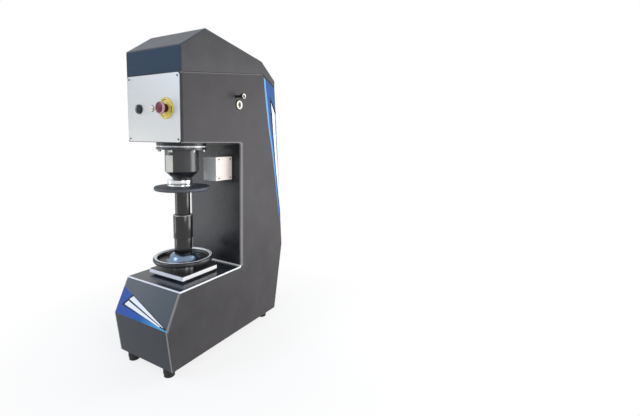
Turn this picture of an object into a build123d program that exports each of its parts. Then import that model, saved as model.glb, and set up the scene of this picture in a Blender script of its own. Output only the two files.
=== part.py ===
"""Floor-standing optical Brinell hardness tester, built as an assembly.

A fabricated C-frame (base, column, head) stands in a folded sheet-metal casing. A handwheel
turns the elevating nut, which lifts the screw with the anvil and the test block. In the head
a motor drives a ball screw that presses the spindle, with its swinging indenter turret, down
through the bell housing.

Machine frame: X across the machine from its mid-plane, Y back from the base's front bottom
edge, Z up from the floor. The finished part is moved so that its origin is the centre of the
whole bounding box, on the floor.
"""

import math
import os

from build123d import *

# ---------------------------------------------------------------- driving dimensions, in mm
# Casing
body_width = 290.0
sheet = 2.5
seam_gap = 0.6
side_depth = 8.0            # how deep the folded rim of a side panel is
edge_radius = 4.0
bend_radius = 6.0
throat_radius = 10.0
foot_height = 36.0
base_height = 275.0
nose_reach = 20.0           # how far the base's nose stands in front of its bottom edge
nose_height = 153.0         # above the base's underside
slope_run = 58.0            # nose back to the front edge of the base's top
top_plate = 5.0
top_plate_chamfer = 1.5
bottom_plate = 4.0
column_front = 360.0
throat_height = 511.0       # base top to the head's underside
head_front = 62.0
head_front_height = 235.0   # head's underside to the hood's seam, at the front
seam_break = 503.0          # Y where the hood's seam turns down
seam_rise = 58.0            # how far the seam climbs from the front to its break
hood_front_height = 88.0
ridge_y = 172.0
ridge_rise = 76.0
roof_break_y = 496.0
roof_break_drop = 55.0
head_rear_y = 591.0
head_rear_drop = 69.0
hood_skirt = 28.0
bulge_y = 661.0
bulge_height = 302.0        # above the base's underside
heel_y = 605.0

# Feet
foot_x = 98.0
foot_inset_front = 24.0
foot_inset_rear = 40.0
foot_radius = 21.0
foot_stud_radius = 6.0
foot_stud_grip = 14.0         # stud inside the frame's foot slab
lock_nut_width = 19.0
lock_nut_height = 5.0

# Load frame
frame_half_width = 80.0
frame_wall = 20.0
frame_front = 60.0
column_front_gap = 40.0     # casing's column front to the frame's column
column_depth = 160.0
frame_slab = 18.0
frame_slab_half_width = 126.0
frame_slab_inset = 8.0      # slab's ends inside the casing
beam_gap = 7.0              # head's underside to the beam
beam_height = 180.0
beam_front_gap = 42.0
beam_bore_gap = 4.0

# Elevating gear
axis_y = 184.0
plate_standoff = 8.0
plate_standoff_inset = 12.0
nut_plate_x = 184.0
nut_plate_y = 174.0
nut_plate_thickness = 17.0
nut_plate_chamfer = 3.0
screw_radius = 25.0
running_clearance = 0.06
free_clearance = 0.4
screw_well_radius = 30.0
screw_below_nut = 135.0
bearing_height = 12.0
bearing_radius = 45.0
nut_height = 20.0
nut_radius = 36.0
wheel_radius = 113.5
wheel_rim_height = 20.0
wheel_rim_width = 17.0
wheel_web = 5.0
wheel_dish = 15.0           # how deep the web lies below the rim's top
wheel_hub_radius = 46.0
wheel_hub_height = 43.0
wheel_hub_skirt = 14.0      # hub below the web
wheel_dome_foot = 64.0      # radius where the raised hub meets the web
wheel_dome_top = 38.0
wheel_holes = 4
wheel_hole_radius = 6.5
lower_tube_radius = 33.4
lower_tube_wall = 3.0
lower_tube_height = 75.0
sleeve_radius = 36.3
sleeve_length = 92.0
sleeve_lip = 8.0
tube_overlap = 14.0
upper_tube_radius = 28.5
upper_tube_wall = 2.3
anvil_radius = 103.0
anvil_thickness = 13.0
anvil_edge = 1.2
block_gap = 1.5             # test block to the bell's nose
block_radius = 46.0
block_height = 19.0
spacer_height = 8.0
block_chamfer = 1.6
block_offset_x = -4.0
block_offset_y = -8.0

# Bell under the head
guide_flange_radius = 90.5
guide_flange_height = 12.0
bell_ring_radius = 88.5
bell_ring_height = 6.0
bell_flange_radius = 91.5
bell_flange_height = 9.0
bell_radius = 62.0
bell_wall = 6.0
bell_height = 83.0
bell_cone_height = 25.5
bell_nose_radius = 35.5
bell_nose_height = 4.0
bell_label_width = 38.0
bell_label_height = 62.0
bell_label_thickness = 0.6
bell_bolts = 6
bell_bolt_circle = 80.0
bell_bolt_turn = 50.0       # degrees, first bolt from the right
bell_bolt_head = 6.5
bell_bolt_head_height = 8.0

# Load train in the head
spindle_radius = 20.0
spindle_bore = 7.0
spindle_stroke = 12.0
ball_clearance = 1.3        # ball to test block at the end of the stroke
ball_radius = 5.0
holder_radius = 10.0
holder_length = 22.0
turret_thickness = 15.0
turret_arm_length = 22.0    # pivot to indenter, and pivot to objective
turret_boss = 12.0
turret_swing = 60.0
turret_pin_radius = 5.0
turret_pin_head = 8.0
turret_pin_head_height = 5.0
objective_radius = 9.0
objective_length = 10.0
foot_flange_radius = 34.0
foot_flange_height = 10.0
guide_bush_radius = 35.0
guide_bush_above = 26.0     # bush above the beam's underside
spindle_head_radius = 35.0
spindle_head_height = 15.0
spindle_head_gap = 3.0      # left under the spindle's head at full stroke
load_cell_height = 20.0
load_cell_bore = 14.0
ball_screw_radius = 12.5
load_nut_radius = 25.0
load_nut_height = 40.0
load_nut_flange = 32.0
load_nut_flange_height = 12.0
screw_end_gap = 8.0         # ball screw's lower end above the load cell's underside
bearing_house_flange = 55.0
bearing_house_flange_height = 12.0
bearing_house_radius = 40.0
bearing_house_height = 100.0
bearing_outer = 22.0
bearing_width = 15.0
bearing_seat = 4.0
pulley_gap = 9.0
pulley_width = 19.0
pulley_flange = 3.0
driven_pulley_radius = 60.0
drive_pulley_radius = 20.0
pulley_centres = 160.0
belt_thickness = 2.5
belt_width = 16.0
belt_clearance = 0.3
motor_size = 84.0
motor_height = 84.0
motor_shaft_radius = 7.0
motor_spigot = 14.0
bracket_width = 120.0
bracket_wall = 8.0
bracket_length = 110.0
motor_floor_gap = 6.0

# Controls on the head's front
plate_thickness = 3.0
plate_side_gap = 8.0        # casing's side to the plate's end
plate_margin = 2.0
plate_corner = 10.0
panel_screw_radius = 3.0
panel_screw_head = 1.4
plate_screw_inset = 10.0
badge_inset = 4.5
badge_foot = 2.5
badge_thickness = 1.2
control_height = 117.0      # above the head's underside
control_pitch = 71.0
control_centre = -2.5
control_hole = 11.0
estop_body_radius = 14.5
estop_legend_radius = 37.0
estop_legend_thickness = 1.5
estop_body_length = 10.0
estop_bore = 8.0
estop_travel = 4.5
estop_neck = 6.0            # free plunger between the body and the mushroom
estop_head_radius = 21.5
estop_head_length = 15.0
estop_socket = 6.0
contact_block_width = 30.0
contact_block_height = 40.0
contact_block_depth = 36.0
selector_radius = 17.0
selector_bezel = 5.0
selector_knob_radius = 12.5
selector_knob_length = 12.0
selector_lever_width = 8.0
lamp_radius = 9.0
lamp_bezel = 3.0
lamp_dome = 4.0
lamp_body_length = 30.0

# Side knob and key lock
knob_y = 333.0
knob_height = 181.0         # above the head's underside
knob_reach = 38.0
knob_head_radius = 11.0
knob_head_length = 11.0
knob_neck_radius = 6.0
knob_shaft_radius = 3.0
knob_bush_radius = 10.0
knob_bush_lip = 2.0
knob_bush_height = 2.0
dimmer_radius = 12.0
dimmer_length = 22.0
lock_behind_knob = 14.0
lock_below_knob = 31.0
lock_bezel_radius = 19.0
lock_bezel_height = 4.0
lock_barrel_radius = 9.0
lock_plug_radius = 7.0
lock_barrel_length = 20.0
lock_contact_size = 24.0
lock_contact_depth = 18.0
keyway_height = 9.0
keyway_width = 2.2
keyway_depth = 3.0

# Camera housing on the column's front
camera_side_gap = 48.0      # casing's side to the housing's end plate
camera_width = 70.0
camera_depth = 94.0
camera_height = 93.0
camera_drop = 56.0          # head's underside to the housing's top
camera_corner = 8.0
camera_end = 2.5
camera_wall = 3.0
camera_pad = 2.5
camera_pad_margin = 6.0
camera_screw_inset = 9.0

# Rear
louvre_count = 9
louvre_pitch = 17.0
louvre_length = 150.0
louvre_slot = 4.0
louvre_depth = 7.0
louvre_top = 150.0          # first louvre below the cover's top edge
cover_screw_inset = 14.0
cover_screw_rows = 5
cover_screw_radius = 4.0
cover_screw_head = 2.4
inlet_height = 120.0        # above the base's underside
inlet_x = 60.0              # to the right, seen from behind
inlet_width = 48.0
inlet_tall = 28.0
inlet_flange = 3.0
inlet_rim_x = 7.0
inlet_rim_y = 3.5
inlet_depth = 24.0
inlet_socket_width = 25.0
inlet_socket_tall = 17.0
inlet_socket_depth = 16.0
inlet_pin_length = 7.0
drive_unit_width = 130.0
drive_unit_depth = 48.0
drive_unit_height = 210.0
drive_unit_bottom = 440.0

# ---------------------------------------------------------------- places worked out from them
half = body_width / 2
inner_half = half - side_depth - seam_gap
base_bottom = foot_height
base_top = base_bottom + base_height
head_bottom = base_top + throat_height
seam_front = head_bottom + head_front_height
nose = (-nose_reach, base_bottom + nose_height)
brow = (slope_run - nose_reach, base_top)
rim_top = base_top - top_plate
hood_front_top = seam_front + hood_front_height
ridge = (ridge_y, hood_front_top + ridge_rise)
roof_break = (roof_break_y, ridge[1] - roof_break_drop)
rear_top = (head_rear_y, roof_break[1] - head_rear_drop)
rear_seam = (head_rear_y, rear_top[1] - hood_skirt)
seam_corner = (seam_break, seam_front + seam_rise)
cover_top = (rear_seam[0], rear_seam[1] - seam_gap)
bulge = (bulge_y, base_bottom + bulge_height)
heel = (heel_y, base_bottom)

column_y0 = column_front + column_front_gap
column_y1 = column_y0 + column_depth
beam_bottom = head_bottom + beam_gap
beam_top = beam_bottom + beam_height
beam_front = head_front + beam_front_gap

plate_bottom = base_top + plate_standoff
plate_top = plate_bottom + nut_plate_thickness
nut_bottom = plate_top + bearing_height
nut_top = nut_bottom + nut_height
hub_top = nut_bottom + wheel_hub_height
web_bottom = nut_bottom + wheel_hub_skirt
web_top = web_bottom + wheel_web
rim_bottom = web_top + wheel_dish - wheel_rim_height
lower_tube_top = hub_top + lower_tube_height
sleeve_bottom = lower_tube_top - tube_overlap
sleeve_top = sleeve_bottom + sleeve_length
guide_bottom = head_bottom - guide_flange_height
bell_flange_top = guide_bottom - bell_ring_height
bell_body_top = bell_flange_top - bell_flange_height
bell_cone_top = bell_body_top - bell_height
bell_nose_top = bell_cone_top - bell_cone_height
nose_bottom = bell_nose_top - bell_nose_height
block_top = nose_bottom - block_gap
spacer_top = block_top - block_height
anvil_top = spacer_top - spacer_height
anvil_bottom = anvil_top - anvil_thickness

ball_tip = block_top + ball_clearance + spindle_stroke
turret_bottom = ball_tip + ball_radius + holder_length
turret_top = turret_bottom + turret_thickness
foot_bottom = turret_top + free_clearance
guide_top = beam_bottom + guide_bush_above
spindle_head_bottom = guide_top + spindle_head_gap + spindle_stroke
load_cell_bottom = spindle_head_bottom + spindle_head_height
load_nut_bottom = load_cell_bottom + load_cell_height
ball_screw_bottom = load_cell_bottom + screw_end_gap
bearing_house_top = beam_top + bearing_house_height
pulley_bottom = bearing_house_top + pulley_gap
pulley_top = pulley_bottom + pulley_width
motor_y = axis_y + pulley_centres
motor_bottom = beam_top + motor_floor_gap
motor_top = motor_bottom + motor_height
pivot_y = axis_y + turret_arm_length

plate_face = head_front - plate_thickness
plate_half_width = half - plate_side_gap
control_z = head_bottom + control_height
selector_x = control_centre - control_pitch
lamp_x = control_centre
estop_x = control_centre + control_pitch
knob_z = head_bottom + knob_height
lock_y = knob_y + lock_behind_knob
lock_z = knob_z - lock_below_knob
camera_top = head_bottom - camera_drop
camera_bottom = camera_top - camera_height
camera_x1 = half - camera_side_gap
camera_x0 = camera_x1 - camera_width
foot_rear = heel_y - foot_inset_rear
foot_places = [(x, y) for x in (-foot_x, foot_x) for y in (foot_inset_front, foot_rear)]


# ---------------------------------------------------------------- small shape helpers
def block(x0, x1, y0, y1, z0, z1):
    """A box between two corners."""
    middle = Pos((x0 + x1) / 2, (y0 + y1) / 2, (z0 + z1) / 2)
    return middle * Box(x1 - x0, y1 - y0, z1 - z0)


def upright(x, y, z0, z1, radius):
    """A vertical cylinder."""
    return Pos(x, y, (z0 + z1) / 2) * Cylinder(radius, z1 - z0)


def along_y(x, z, y0, y1, radius):
    """A cylinder that lies front to back."""
    return Pos(x, (y0 + y1) / 2, z) * Rot(90, 0, 0) * Cylinder(radius, y1 - y0)


def along_x(y, z, x0, x1, radius):
    """A cylinder that lies across the machine."""
    return Pos((x0 + x1) / 2, y, z) * Rot(0, 90, 0) * Cylinder(radius, x1 - x0)


def turned(points, x, y):
    """A solid of revolution about a vertical axis, from (radius, height) points."""
    section = Plane.XZ * make_face(Polyline(*points, close=True))
    return Pos(x, y, 0) * revolve(section, Axis.Z)


def across(section, x0, x1):
    """A YZ section carried across the machine from x0 to x1."""
    return Pos(x0, 0, 0) * extrude(Plane.YZ * section, x1 - x0)


def area(y0, y1, z0, z1):
    """A rectangle in the YZ section plane."""
    return Pos((y0 + y1) / 2, (z0 + z1) / 2) * Rectangle(y1 - y0, z1 - z0)


def rounded_at(face, corners, radius):
    """Fillet the section's corners that lie nearest to the given points."""
    for corner in corners:
        nearest = face.vertices().sort_by_distance(Vector(*corner))[0]
        face = fillet(nearest, radius)
    return face


# ---------------------------------------------------------------- casing
def body_outline():
    """Side view of the casing below the hood, with its bends rounded."""
    share = (rim_top - nose[1]) / (base_top - nose[1])
    rim_front = nose[0] + slope_run * share
    throat = (column_front, head_bottom)
    points = [
        (0, base_bottom),
        nose,
        (rim_front, rim_top),
        (column_front, rim_top),
        throat,
        (head_front, head_bottom),
        (head_front, seam_front - seam_gap),
        (seam_corner[0], seam_corner[1] - seam_gap),
        cover_top,
        bulge,
        heel,
    ]
    outline = make_face(Polyline(*points, close=True))
    outline = rounded_at(outline, [nose, bulge], bend_radius)
    return rounded_at(outline, [throat], throat_radius)


outline = body_outline()
outline_inside = offset(outline, -sheet, kind=Kind.INTERSECTION)
floor_front = sheet + seam_gap
floor_rear = heel_y - sheet - seam_gap
floor_top = base_bottom + bottom_plate
floor_zone = area(floor_front - seam_gap / 2, floor_rear + seam_gap / 2, base_bottom, floor_top)
casing_wall = outline - outline_inside - floor_zone


def casing_sheet(region):
    """The casing's wall inside a region of the side view, between the side panels."""
    return across(casing_wall & region, -inner_half, inner_half)


def side_panel():
    """Right side panel: a flat C-shaped sheet with a folded rim and rounded edges."""
    pan = across(outline, half - side_depth, half)
    pan = fillet(pan.faces().sort_by(Axis.X)[-1].edges(), edge_radius)
    return pan - across(outline_inside, half - side_depth, half - sheet)


def side_panel_right():
    panel = side_panel()
    panel -= along_x(knob_y, knob_z, half - side_depth, half, knob_bush_radius - knob_bush_lip)
    return panel - along_x(lock_y, lock_z, half - side_depth, half, lock_barrel_radius)


def base_front_panel():
    fold = brow[0] + side_depth
    return casing_sheet(area(-nose_reach, fold, base_bottom, rim_top))


def throat_panel():
    """Column front and head underside in one folded sheet, with the camera housing's pad."""
    front = head_front + side_depth + seam_gap
    panel = casing_sheet(area(front, column_front + sheet, rim_top, head_bottom + sheet))
    opening = guide_bush_radius + side_depth
    panel -= upright(0, axis_y, head_bottom, head_bottom + sheet, opening)
    margin = camera_pad_margin
    x0 = camera_x0 - margin
    x1 = camera_x1 + margin
    z0 = camera_bottom - 2 * margin
    z1 = camera_top + 2 * margin
    return panel + block(x0, x1, column_front - camera_pad, column_front, z0, z1)


def head_front_panel():
    fold = head_front + side_depth
    panel = casing_sheet(area(head_front, fold, head_bottom, seam_front))
    for x in (selector_x, lamp_x, estop_x):
        panel -= along_y(x, control_z, head_front, fold, control_hole)
    return panel


def base_bottom_plate():
    w = inner_half
    plate = block(-w, w, floor_front, floor_rear, base_bottom, floor_top)
    for x, y in foot_places:
        plate -= upright(x, y, base_bottom, floor_top, foot_stud_radius)
    return plate


def base_top_plate():
    edge = half - seam_gap
    plate = block(-edge, edge, brow[0], column_front - seam_gap, rim_top, base_top)
    plate = chamfer(plate.faces().sort_by(Axis.Z)[-1].edges(), top_plate_chamfer)
    return plate - upright(0, axis_y, rim_top, base_top, screw_well_radius)


def hood():
    """Folded top cover: a faceted roof that is open along the seam."""
    front_top = (head_front, hood_front_top)
    points = [
        (head_front, seam_front),
        front_top,
        ridge,
        roof_break,
        rear_top,
        rear_seam,
        seam_corner,
    ]
    side = make_face(Polyline(*points, close=True))
    side = rounded_at(side, [front_top, ridge, roof_break, rear_top], bend_radius)
    shell = across(side, -half, half)
    cheeks = shell.faces().filter_by(Axis.X)
    lower = [Vector(0, y, z) for y, z in (points[0], points[-2], points[-1])]
    rim = ShapeList()
    for cheek in cheeks:
        for edge in cheek.edges():
            ends = [Vector(0, v.Y, v.Z) for v in edge.vertices()]
            on_seam = all(min((e - p).length for p in lower) < 0.01 for e in ends)
            if not on_seam:
                rim.append(edge)
    shell = fillet(rim, edge_radius)
    inside = offset(side, -sheet, kind=Kind.INTERSECTION)
    below = Pos(0, -2 * sheet) * inside
    cavity = across(inside + below, -half + sheet, half - sheet)
    return shell - cavity


def rear_plane(height):
    """Plane on the rear cover above its bulge: X across, Y up the cover, Z outwards."""
    rise = cover_top[1] - bulge[1]
    run = cover_top[0] - bulge[0]
    y = bulge[0] + run * (height - bulge[1]) / rise
    up = Vector(0, run, rise).normalized()
    out = Vector(0, rise, -run).normalized()
    return Plane(origin=(0, y, height), x_dir=up.cross(out), z_dir=out)


def heel_plane(height):
    """Plane on the rear cover below its bulge: X across, Y up the cover, Z outwards."""
    rise = bulge[1] - heel[1]
    run = bulge[0] - heel[0]
    y = heel[0] + run * (height - heel[1]) / rise
    up = Vector(0, run, rise).normalized()
    out = Vector(0, rise, -run).normalized()
    return Plane(origin=(0, y, height), x_dir=up.cross(out), z_dir=out)


def louvre_planes():
    top = rear_seam[1] - louvre_top
    return [rear_plane(top - n * louvre_pitch) for n in range(louvre_count)]


def louvre_hood():
    """Pressed-out hood of one louvre, closed at its ends and open below."""
    reach = louvre_slot + sheet
    points = [(-reach, -sheet), (reach, -sheet), (reach, 0), (2 - reach, louvre_depth)]
    points.append((-reach, louvre_depth))
    section = make_face(Polyline(*points, close=True))
    return extrude(Plane.YZ * section, louvre_length / 2, both=True)


def louvre_passage():
    """Air passage through the cover and under one hood."""
    reach = louvre_slot + sheet
    upper = reach - 2 * sheet
    tip = louvre_depth - 1.5
    points = [(-reach - 1, -2 * sheet), (upper, -2 * sheet), (upper, 0), (0.5 - reach, tip)]
    points.append((-reach - 1, tip))
    section = make_face(Polyline(*points, close=True))
    return extrude(Plane.YZ * section, louvre_length / 2 - sheet, both=True)


def rear_cover():
    """Rear sheet in one fold at the bulge, with pressed louvres and the inlet's cut-out."""
    front = min(heel[0], cover_top[0]) - side_depth
    rear = max(heel[0], bulge[0])
    cover = casing_sheet(area(front, rear, base_bottom, cover_top[1]))
    for plane in louvre_planes():
        cover += plane * louvre_hood()
        cover -= plane * louvre_passage()
    cut = heel_plane(base_bottom + inlet_height)
    wide = inlet_width - 2 * inlet_rim_x + 2
    tall = inlet_tall - 2 * inlet_rim_y + 1
    window = Pos(inlet_x, 0, 0) * Box(wide, tall, 6 * sheet)
    return cover - cut * window


def rear_cover_screws():
    """Pan-head screws down both edges of the rear cover."""
    head = Cylinder(cover_screw_radius, cover_screw_head)
    head = chamfer(head.faces().sort_by(Axis.Z)[-1].edges(), cover_screw_head * 0.4)
    bottom = bulge[1] + cover_screw_inset * 2
    top = rear_seam[1] - cover_screw_inset * 2
    x = inner_half - cover_screw_inset
    screws = []
    for row in range(cover_screw_rows):
        plane = rear_plane(bottom + (top - bottom) * row / (cover_screw_rows - 1))
        for side in (-1, 1):
            screws.append(plane * Pos(side * x, 0, cover_screw_head / 2) * head)
    lower = heel_plane(base_bottom + cover_screw_inset * 2)
    for side in (-1, 1):
        screws.append(lower * Pos(side * x, 0, cover_screw_head / 2) * head)
    return screws


def mains_inlet():
    """Appliance inlet: a flanged body with a six-sided socket and three flat pins."""
    flange = Pos(0, 0, inlet_flange / 2) * Box(inlet_width, inlet_tall, inlet_flange)
    flange = fillet(flange.edges().filter_by(Axis.Z), 3)
    barrel_wide = inlet_width - 2 * inlet_rim_x
    barrel_tall = inlet_tall - 2 * inlet_rim_y
    body = Pos(0, 0, -inlet_depth / 2) * Box(barrel_wide, barrel_tall, inlet_depth)
    socket_plan = Rectangle(inlet_socket_width, inlet_socket_tall)
    upper = socket_plan.vertices().group_by(Axis.Y)[-1]
    socket_plan = chamfer(upper, 4)
    floor = inlet_flange - inlet_socket_depth
    socket = Pos(0, 0, floor) * extrude(socket_plan, inlet_socket_depth)
    inlet = flange + body - socket
    for x, y in ((-7, -2), (7, -2), (0, 2)):
        pin = Pos(x, y, floor + inlet_pin_length / 2) * Box(2, 4, inlet_pin_length)
        inlet += pin
    return heel_plane(base_bottom + inlet_height) * Pos(inlet_x, 0, 0) * inlet


# ---------------------------------------------------------------- feet and load frame
def foot_pads():
    """Rubber pads: a tread with a groove over it and a wider body up to the stud's nut."""
    tread = foot_radius * 0.9
    groove = foot_radius * 0.84
    top = foot_height - lock_nut_height
    outline_points = [
        (0, 0),
        (tread - 1.5, 0),
        (tread, 1.5),
        (tread, top * 0.3),
        (groove, top * 0.36),
        (foot_radius, top * 0.45),
        (foot_radius, top - 2),
        (foot_radius - 2, top),
        (0, top),
    ]
    return [turned(outline_points, x, y) for x, y in foot_places]


def foot_studs():
    """Levelling studs with a lock nut against the base's underside."""
    nut = extrude(RegularPolygon(lock_nut_width / 2, 6, major_radius=False), lock_nut_height)
    length = bottom_plate + foot_stud_grip
    stud = Pos(0, 0, lock_nut_height) * extrude(Circle(foot_stud_radius), length)
    return [Pos(x, y, foot_height - lock_nut_height) * (nut + stud) for x, y in foot_places]


def frame_base():
    """Heavy base on a foot slab, cored from below, with a well for the elevating screw."""
    w = frame_slab_half_width
    front = floor_front + frame_slab_inset
    rear = floor_rear - frame_slab_inset
    slab = block(-w, w, front, rear, floor_top, floor_top + frame_slab)
    outer = frame_half_width + frame_wall
    body = slab + block(-outer, outer, frame_front, column_y1, floor_top, rim_top)
    for x, y in foot_places:
        body -= upright(x, y, floor_top, floor_top + foot_stud_grip, foot_stud_radius)
    inner = frame_half_width
    cores = [
        (frame_front + frame_wall, column_y0 - frame_wall),
        (column_y0, column_y1 - frame_wall),
    ]
    for y0, y1 in cores:
        body -= block(-inner, inner, y0, y1, floor_top, rim_top - 2 * frame_wall)
    body += upright(0, axis_y, floor_top, rim_top, screw_well_radius + frame_wall)
    return body - upright(0, axis_y, floor_top, rim_top, screw_well_radius)


def frame_column():
    """Square-tube column between the base and the head beam."""
    w = frame_half_width
    post = block(-w, w, column_y0, column_y1, rim_top, beam_bottom)
    inner = w - frame_wall
    y0 = column_y0 + frame_wall
    y1 = column_y1 - frame_wall
    return post - block(-inner, inner, y0, y1, rim_top, beam_bottom)


def frame_head():
    """Box beam of the head, bored on the loading axis."""
    w = frame_half_width
    beam = block(-w, w, beam_front, column_y1, beam_bottom, beam_top)
    inner = w - frame_wall
    y0 = beam_front + frame_wall
    y1 = column_y1 - frame_wall
    lower = beam_bottom + frame_wall
    upper = beam_top - frame_wall
    beam -= block(-inner, inner, y0, y1, lower, upper)
    beam -= upright(0, axis_y, beam_bottom, lower, guide_bush_radius)
    return beam - upright(0, axis_y, upper, beam_top, bearing_outer + beam_bore_gap)


def load_frame():
    """Welded C-frame that takes the test load: base, column and head beam."""
    return frame_base() + frame_column() + frame_head()


# ---------------------------------------------------------------- elevating gear
def nut_plate():
    """Ground plate that carries the thrust bearing, on a set-back standoff."""
    x = nut_plate_x / 2
    y = nut_plate_y / 2
    slab = block(-x, x, axis_y - y, axis_y + y, plate_bottom, plate_top)
    slab = chamfer(slab.faces().sort_by(Axis.Z)[-1].edges(), nut_plate_chamfer)
    x -= plate_standoff_inset
    y -= plate_standoff_inset
    slab += block(-x, x, axis_y - y, axis_y + y, base_top, plate_bottom)
    guide = screw_radius + running_clearance
    return slab - upright(0, axis_y, base_top, plate_top, guide)


def thrust_bearing():
    """Fixed race of the thrust bearing under the wheel's hub, with a grease groove."""
    bore = screw_radius + free_clearance
    top = nut_bottom - free_clearance
    groove = plate_top + bearing_height / 2
    race = [
        (bore, plate_top),
        (bearing_radius, plate_top),
        (bearing_radius, groove - 1.5),
        (bearing_radius - 2, groove - 1.5),
        (bearing_radius - 2, groove + 1.5),
        (bearing_radius, groove + 1.5),
        (bearing_radius, top),
        (bore, top),
    ]
    return turned(race, 0, axis_y)


def rim_section(inner, outer, low, high):
    """Round-looking rim section: a rectangle whose corners are cut back twice."""
    c = (outer - inner) * 0.36
    d = c * 0.42
    section = []
    corners = [(outer, low, -1, 1), (outer, high, -1, -1), (inner, high, 1, -1)]
    for x, y, sx, sy in corners:
        cut = [(x + sx * c, y), (x + sx * d * 0.72, y + sy * d * 0.72), (x, y + sy * c)]
        section += cut if sx * sy < 0 else cut[::-1]
    return section


def dome_section():
    """The raised hub's outline, from its foot on the web up to its top."""
    run = wheel_dome_foot - wheel_dome_top
    rise = hub_top - web_top
    shares = ((0, 0), (0.27, 0.17), (0.58, 0.6), (0.81, 0.89), (1, 1))
    return [(wheel_dome_foot - a * run, web_top + b * rise) for a, b in shares]


def handwheel():
    """Wheel like a pan: a rounded rim, a flat web with holes, and a raised hub."""
    inner = wheel_radius - wheel_rim_width
    rim_top_z = rim_bottom + wheel_rim_height
    section = [
        (nut_radius, nut_bottom),
        (wheel_hub_radius, nut_bottom),
        (wheel_hub_radius, web_bottom),
        (inner, web_bottom),
        *rim_section(inner, wheel_radius, rim_bottom, rim_top_z),
        (inner, web_top),
        *dome_section(),
        (lower_tube_radius, hub_top),
        (lower_tube_radius, nut_top),
        (nut_radius, nut_top),
    ]
    wheel = turned(section, 0, axis_y)
    ring = (inner + wheel_hub_radius) / 2
    for n in range(wheel_holes):
        angle = 2 * math.pi * n / wheel_holes
        x = ring * math.cos(angle)
        y = axis_y + ring * math.sin(angle)
        wheel -= upright(x, y, web_bottom, web_top, wheel_hole_radius)
    return wheel


def elevating_nut():
    bore = screw_radius + running_clearance
    nut = upright(0, axis_y, nut_bottom, nut_top, nut_radius)
    return nut - upright(0, axis_y, nut_bottom, nut_top, bore)


def cover_tube(z0, z1, radius, wall):
    return upright(0, axis_y, z0, z1, radius) - upright(0, axis_y, z0, z1, radius - wall)


def lower_cover_tube():
    return cover_tube(nut_top, lower_tube_top, lower_tube_radius, lower_tube_wall)


def cover_sleeve():
    """Middle sleeve, closed in at its top around the upper tube."""
    inner = lower_tube_radius + free_clearance
    sleeve = cover_tube(sleeve_bottom, sleeve_top, sleeve_radius, sleeve_radius - inner)
    lip = upper_tube_radius + free_clearance
    sleeve += cover_tube(sleeve_top - sleeve_lip, sleeve_top, sleeve_radius - 1, sleeve_radius - 1 - lip)
    return chamfer(sleeve.faces().sort_by(Axis.Z)[-1].outer_wire().edges(), 1.2)


def upper_cover_tube():
    return cover_tube(
        sleeve_top - tube_overlap, anvil_bottom, upper_tube_radius, upper_tube_wall
    )


def elevating_screw():
    return upright(0, axis_y, nut_bottom - screw_below_nut, anvil_bottom, screw_radius)


def anvil():
    disc = upright(0, axis_y, anvil_bottom, anvil_top, anvil_radius)
    return chamfer(disc.edges().filter_by(GeomType.CIRCLE), anvil_edge)


def test_blocks():
    """Round reference block on its round spacer, set down off the loading axis."""
    x = block_offset_x
    y = axis_y + block_offset_y
    spacer = upright(x, y, anvil_top, spacer_top, block_radius)
    top_block = upright(x, y, spacer_top, block_top, block_radius)
    spacer = chamfer(spacer.edges().filter_by(GeomType.CIRCLE), block_chamfer)
    top_block = chamfer(top_block.edges().filter_by(GeomType.CIRCLE), block_chamfer)
    return [spacer, top_block]


# ---------------------------------------------------------------- bell and load train
def guide_bush():
    """Flanged bush that guides the spindle; the bell hangs from its flange."""
    bore = spindle_radius + running_clearance
    section = [
        (bore, guide_bottom),
        (guide_flange_radius, guide_bottom),
        (guide_flange_radius, head_bottom),
        (guide_bush_radius, head_bottom),
        (guide_bush_radius, guide_top),
        (bore, guide_top),
    ]
    return turned(section, 0, axis_y)


def bell_ring():
    inner = bell_radius - bell_wall
    ring = upright(0, axis_y, bell_flange_top, guide_bottom, bell_ring_radius)
    ring = chamfer(ring.edges().filter_by(GeomType.CIRCLE), 0.8)
    return ring - upright(0, axis_y, bell_flange_top, guide_bottom, inner)


def bell_housing():
    """Turned bell: flange, cylinder, cone and short nose, hollow and open below."""
    inner = bell_radius - bell_wall
    nose_inner = bell_nose_radius - bell_wall
    section = [
        (inner, bell_flange_top),
        (bell_flange_radius, bell_flange_top),
        (bell_flange_radius, bell_body_top),
        (bell_radius, bell_body_top),
        (bell_radius, bell_cone_top),
        (bell_nose_radius, bell_nose_top),
        (bell_nose_radius, nose_bottom),
        (nose_inner, nose_bottom),
        (nose_inner, bell_nose_top),
        (inner, bell_cone_top),
    ]
    return turned(section, 0, axis_y)


def bell_label():
    """Blank data plate, bent around the bell's front."""
    top = bell_body_top - (bell_height - bell_label_height)
    radius = bell_radius + bell_label_thickness
    label = upright(0, axis_y, bell_cone_top, top, radius)
    label -= upright(0, axis_y, bell_cone_top, top, bell_radius)
    w = bell_label_width / 2
    return label & block(-w, w, axis_y - 2 * radius, axis_y, bell_cone_top, top)


def bell_bolt_heads():
    """Socket-head bolts around the underside of the bell's flange."""
    head = upright(0, 0, bell_body_top - bell_bolt_head_height, bell_body_top, bell_bolt_head)
    head -= Pos(0, 0, bell_body_top - bell_bolt_head_height) * extrude(
        RegularPolygon(bell_bolt_head * 0.5, 6), 4
    )
    heads = []
    for n in range(bell_bolts):
        turn = Pos(0, axis_y, 0) * Rot(0, 0, 360 * n / bell_bolts + bell_bolt_turn)
        heads.append(turn * Pos(bell_bolt_circle, 0, 0) * head)
    return heads


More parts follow.
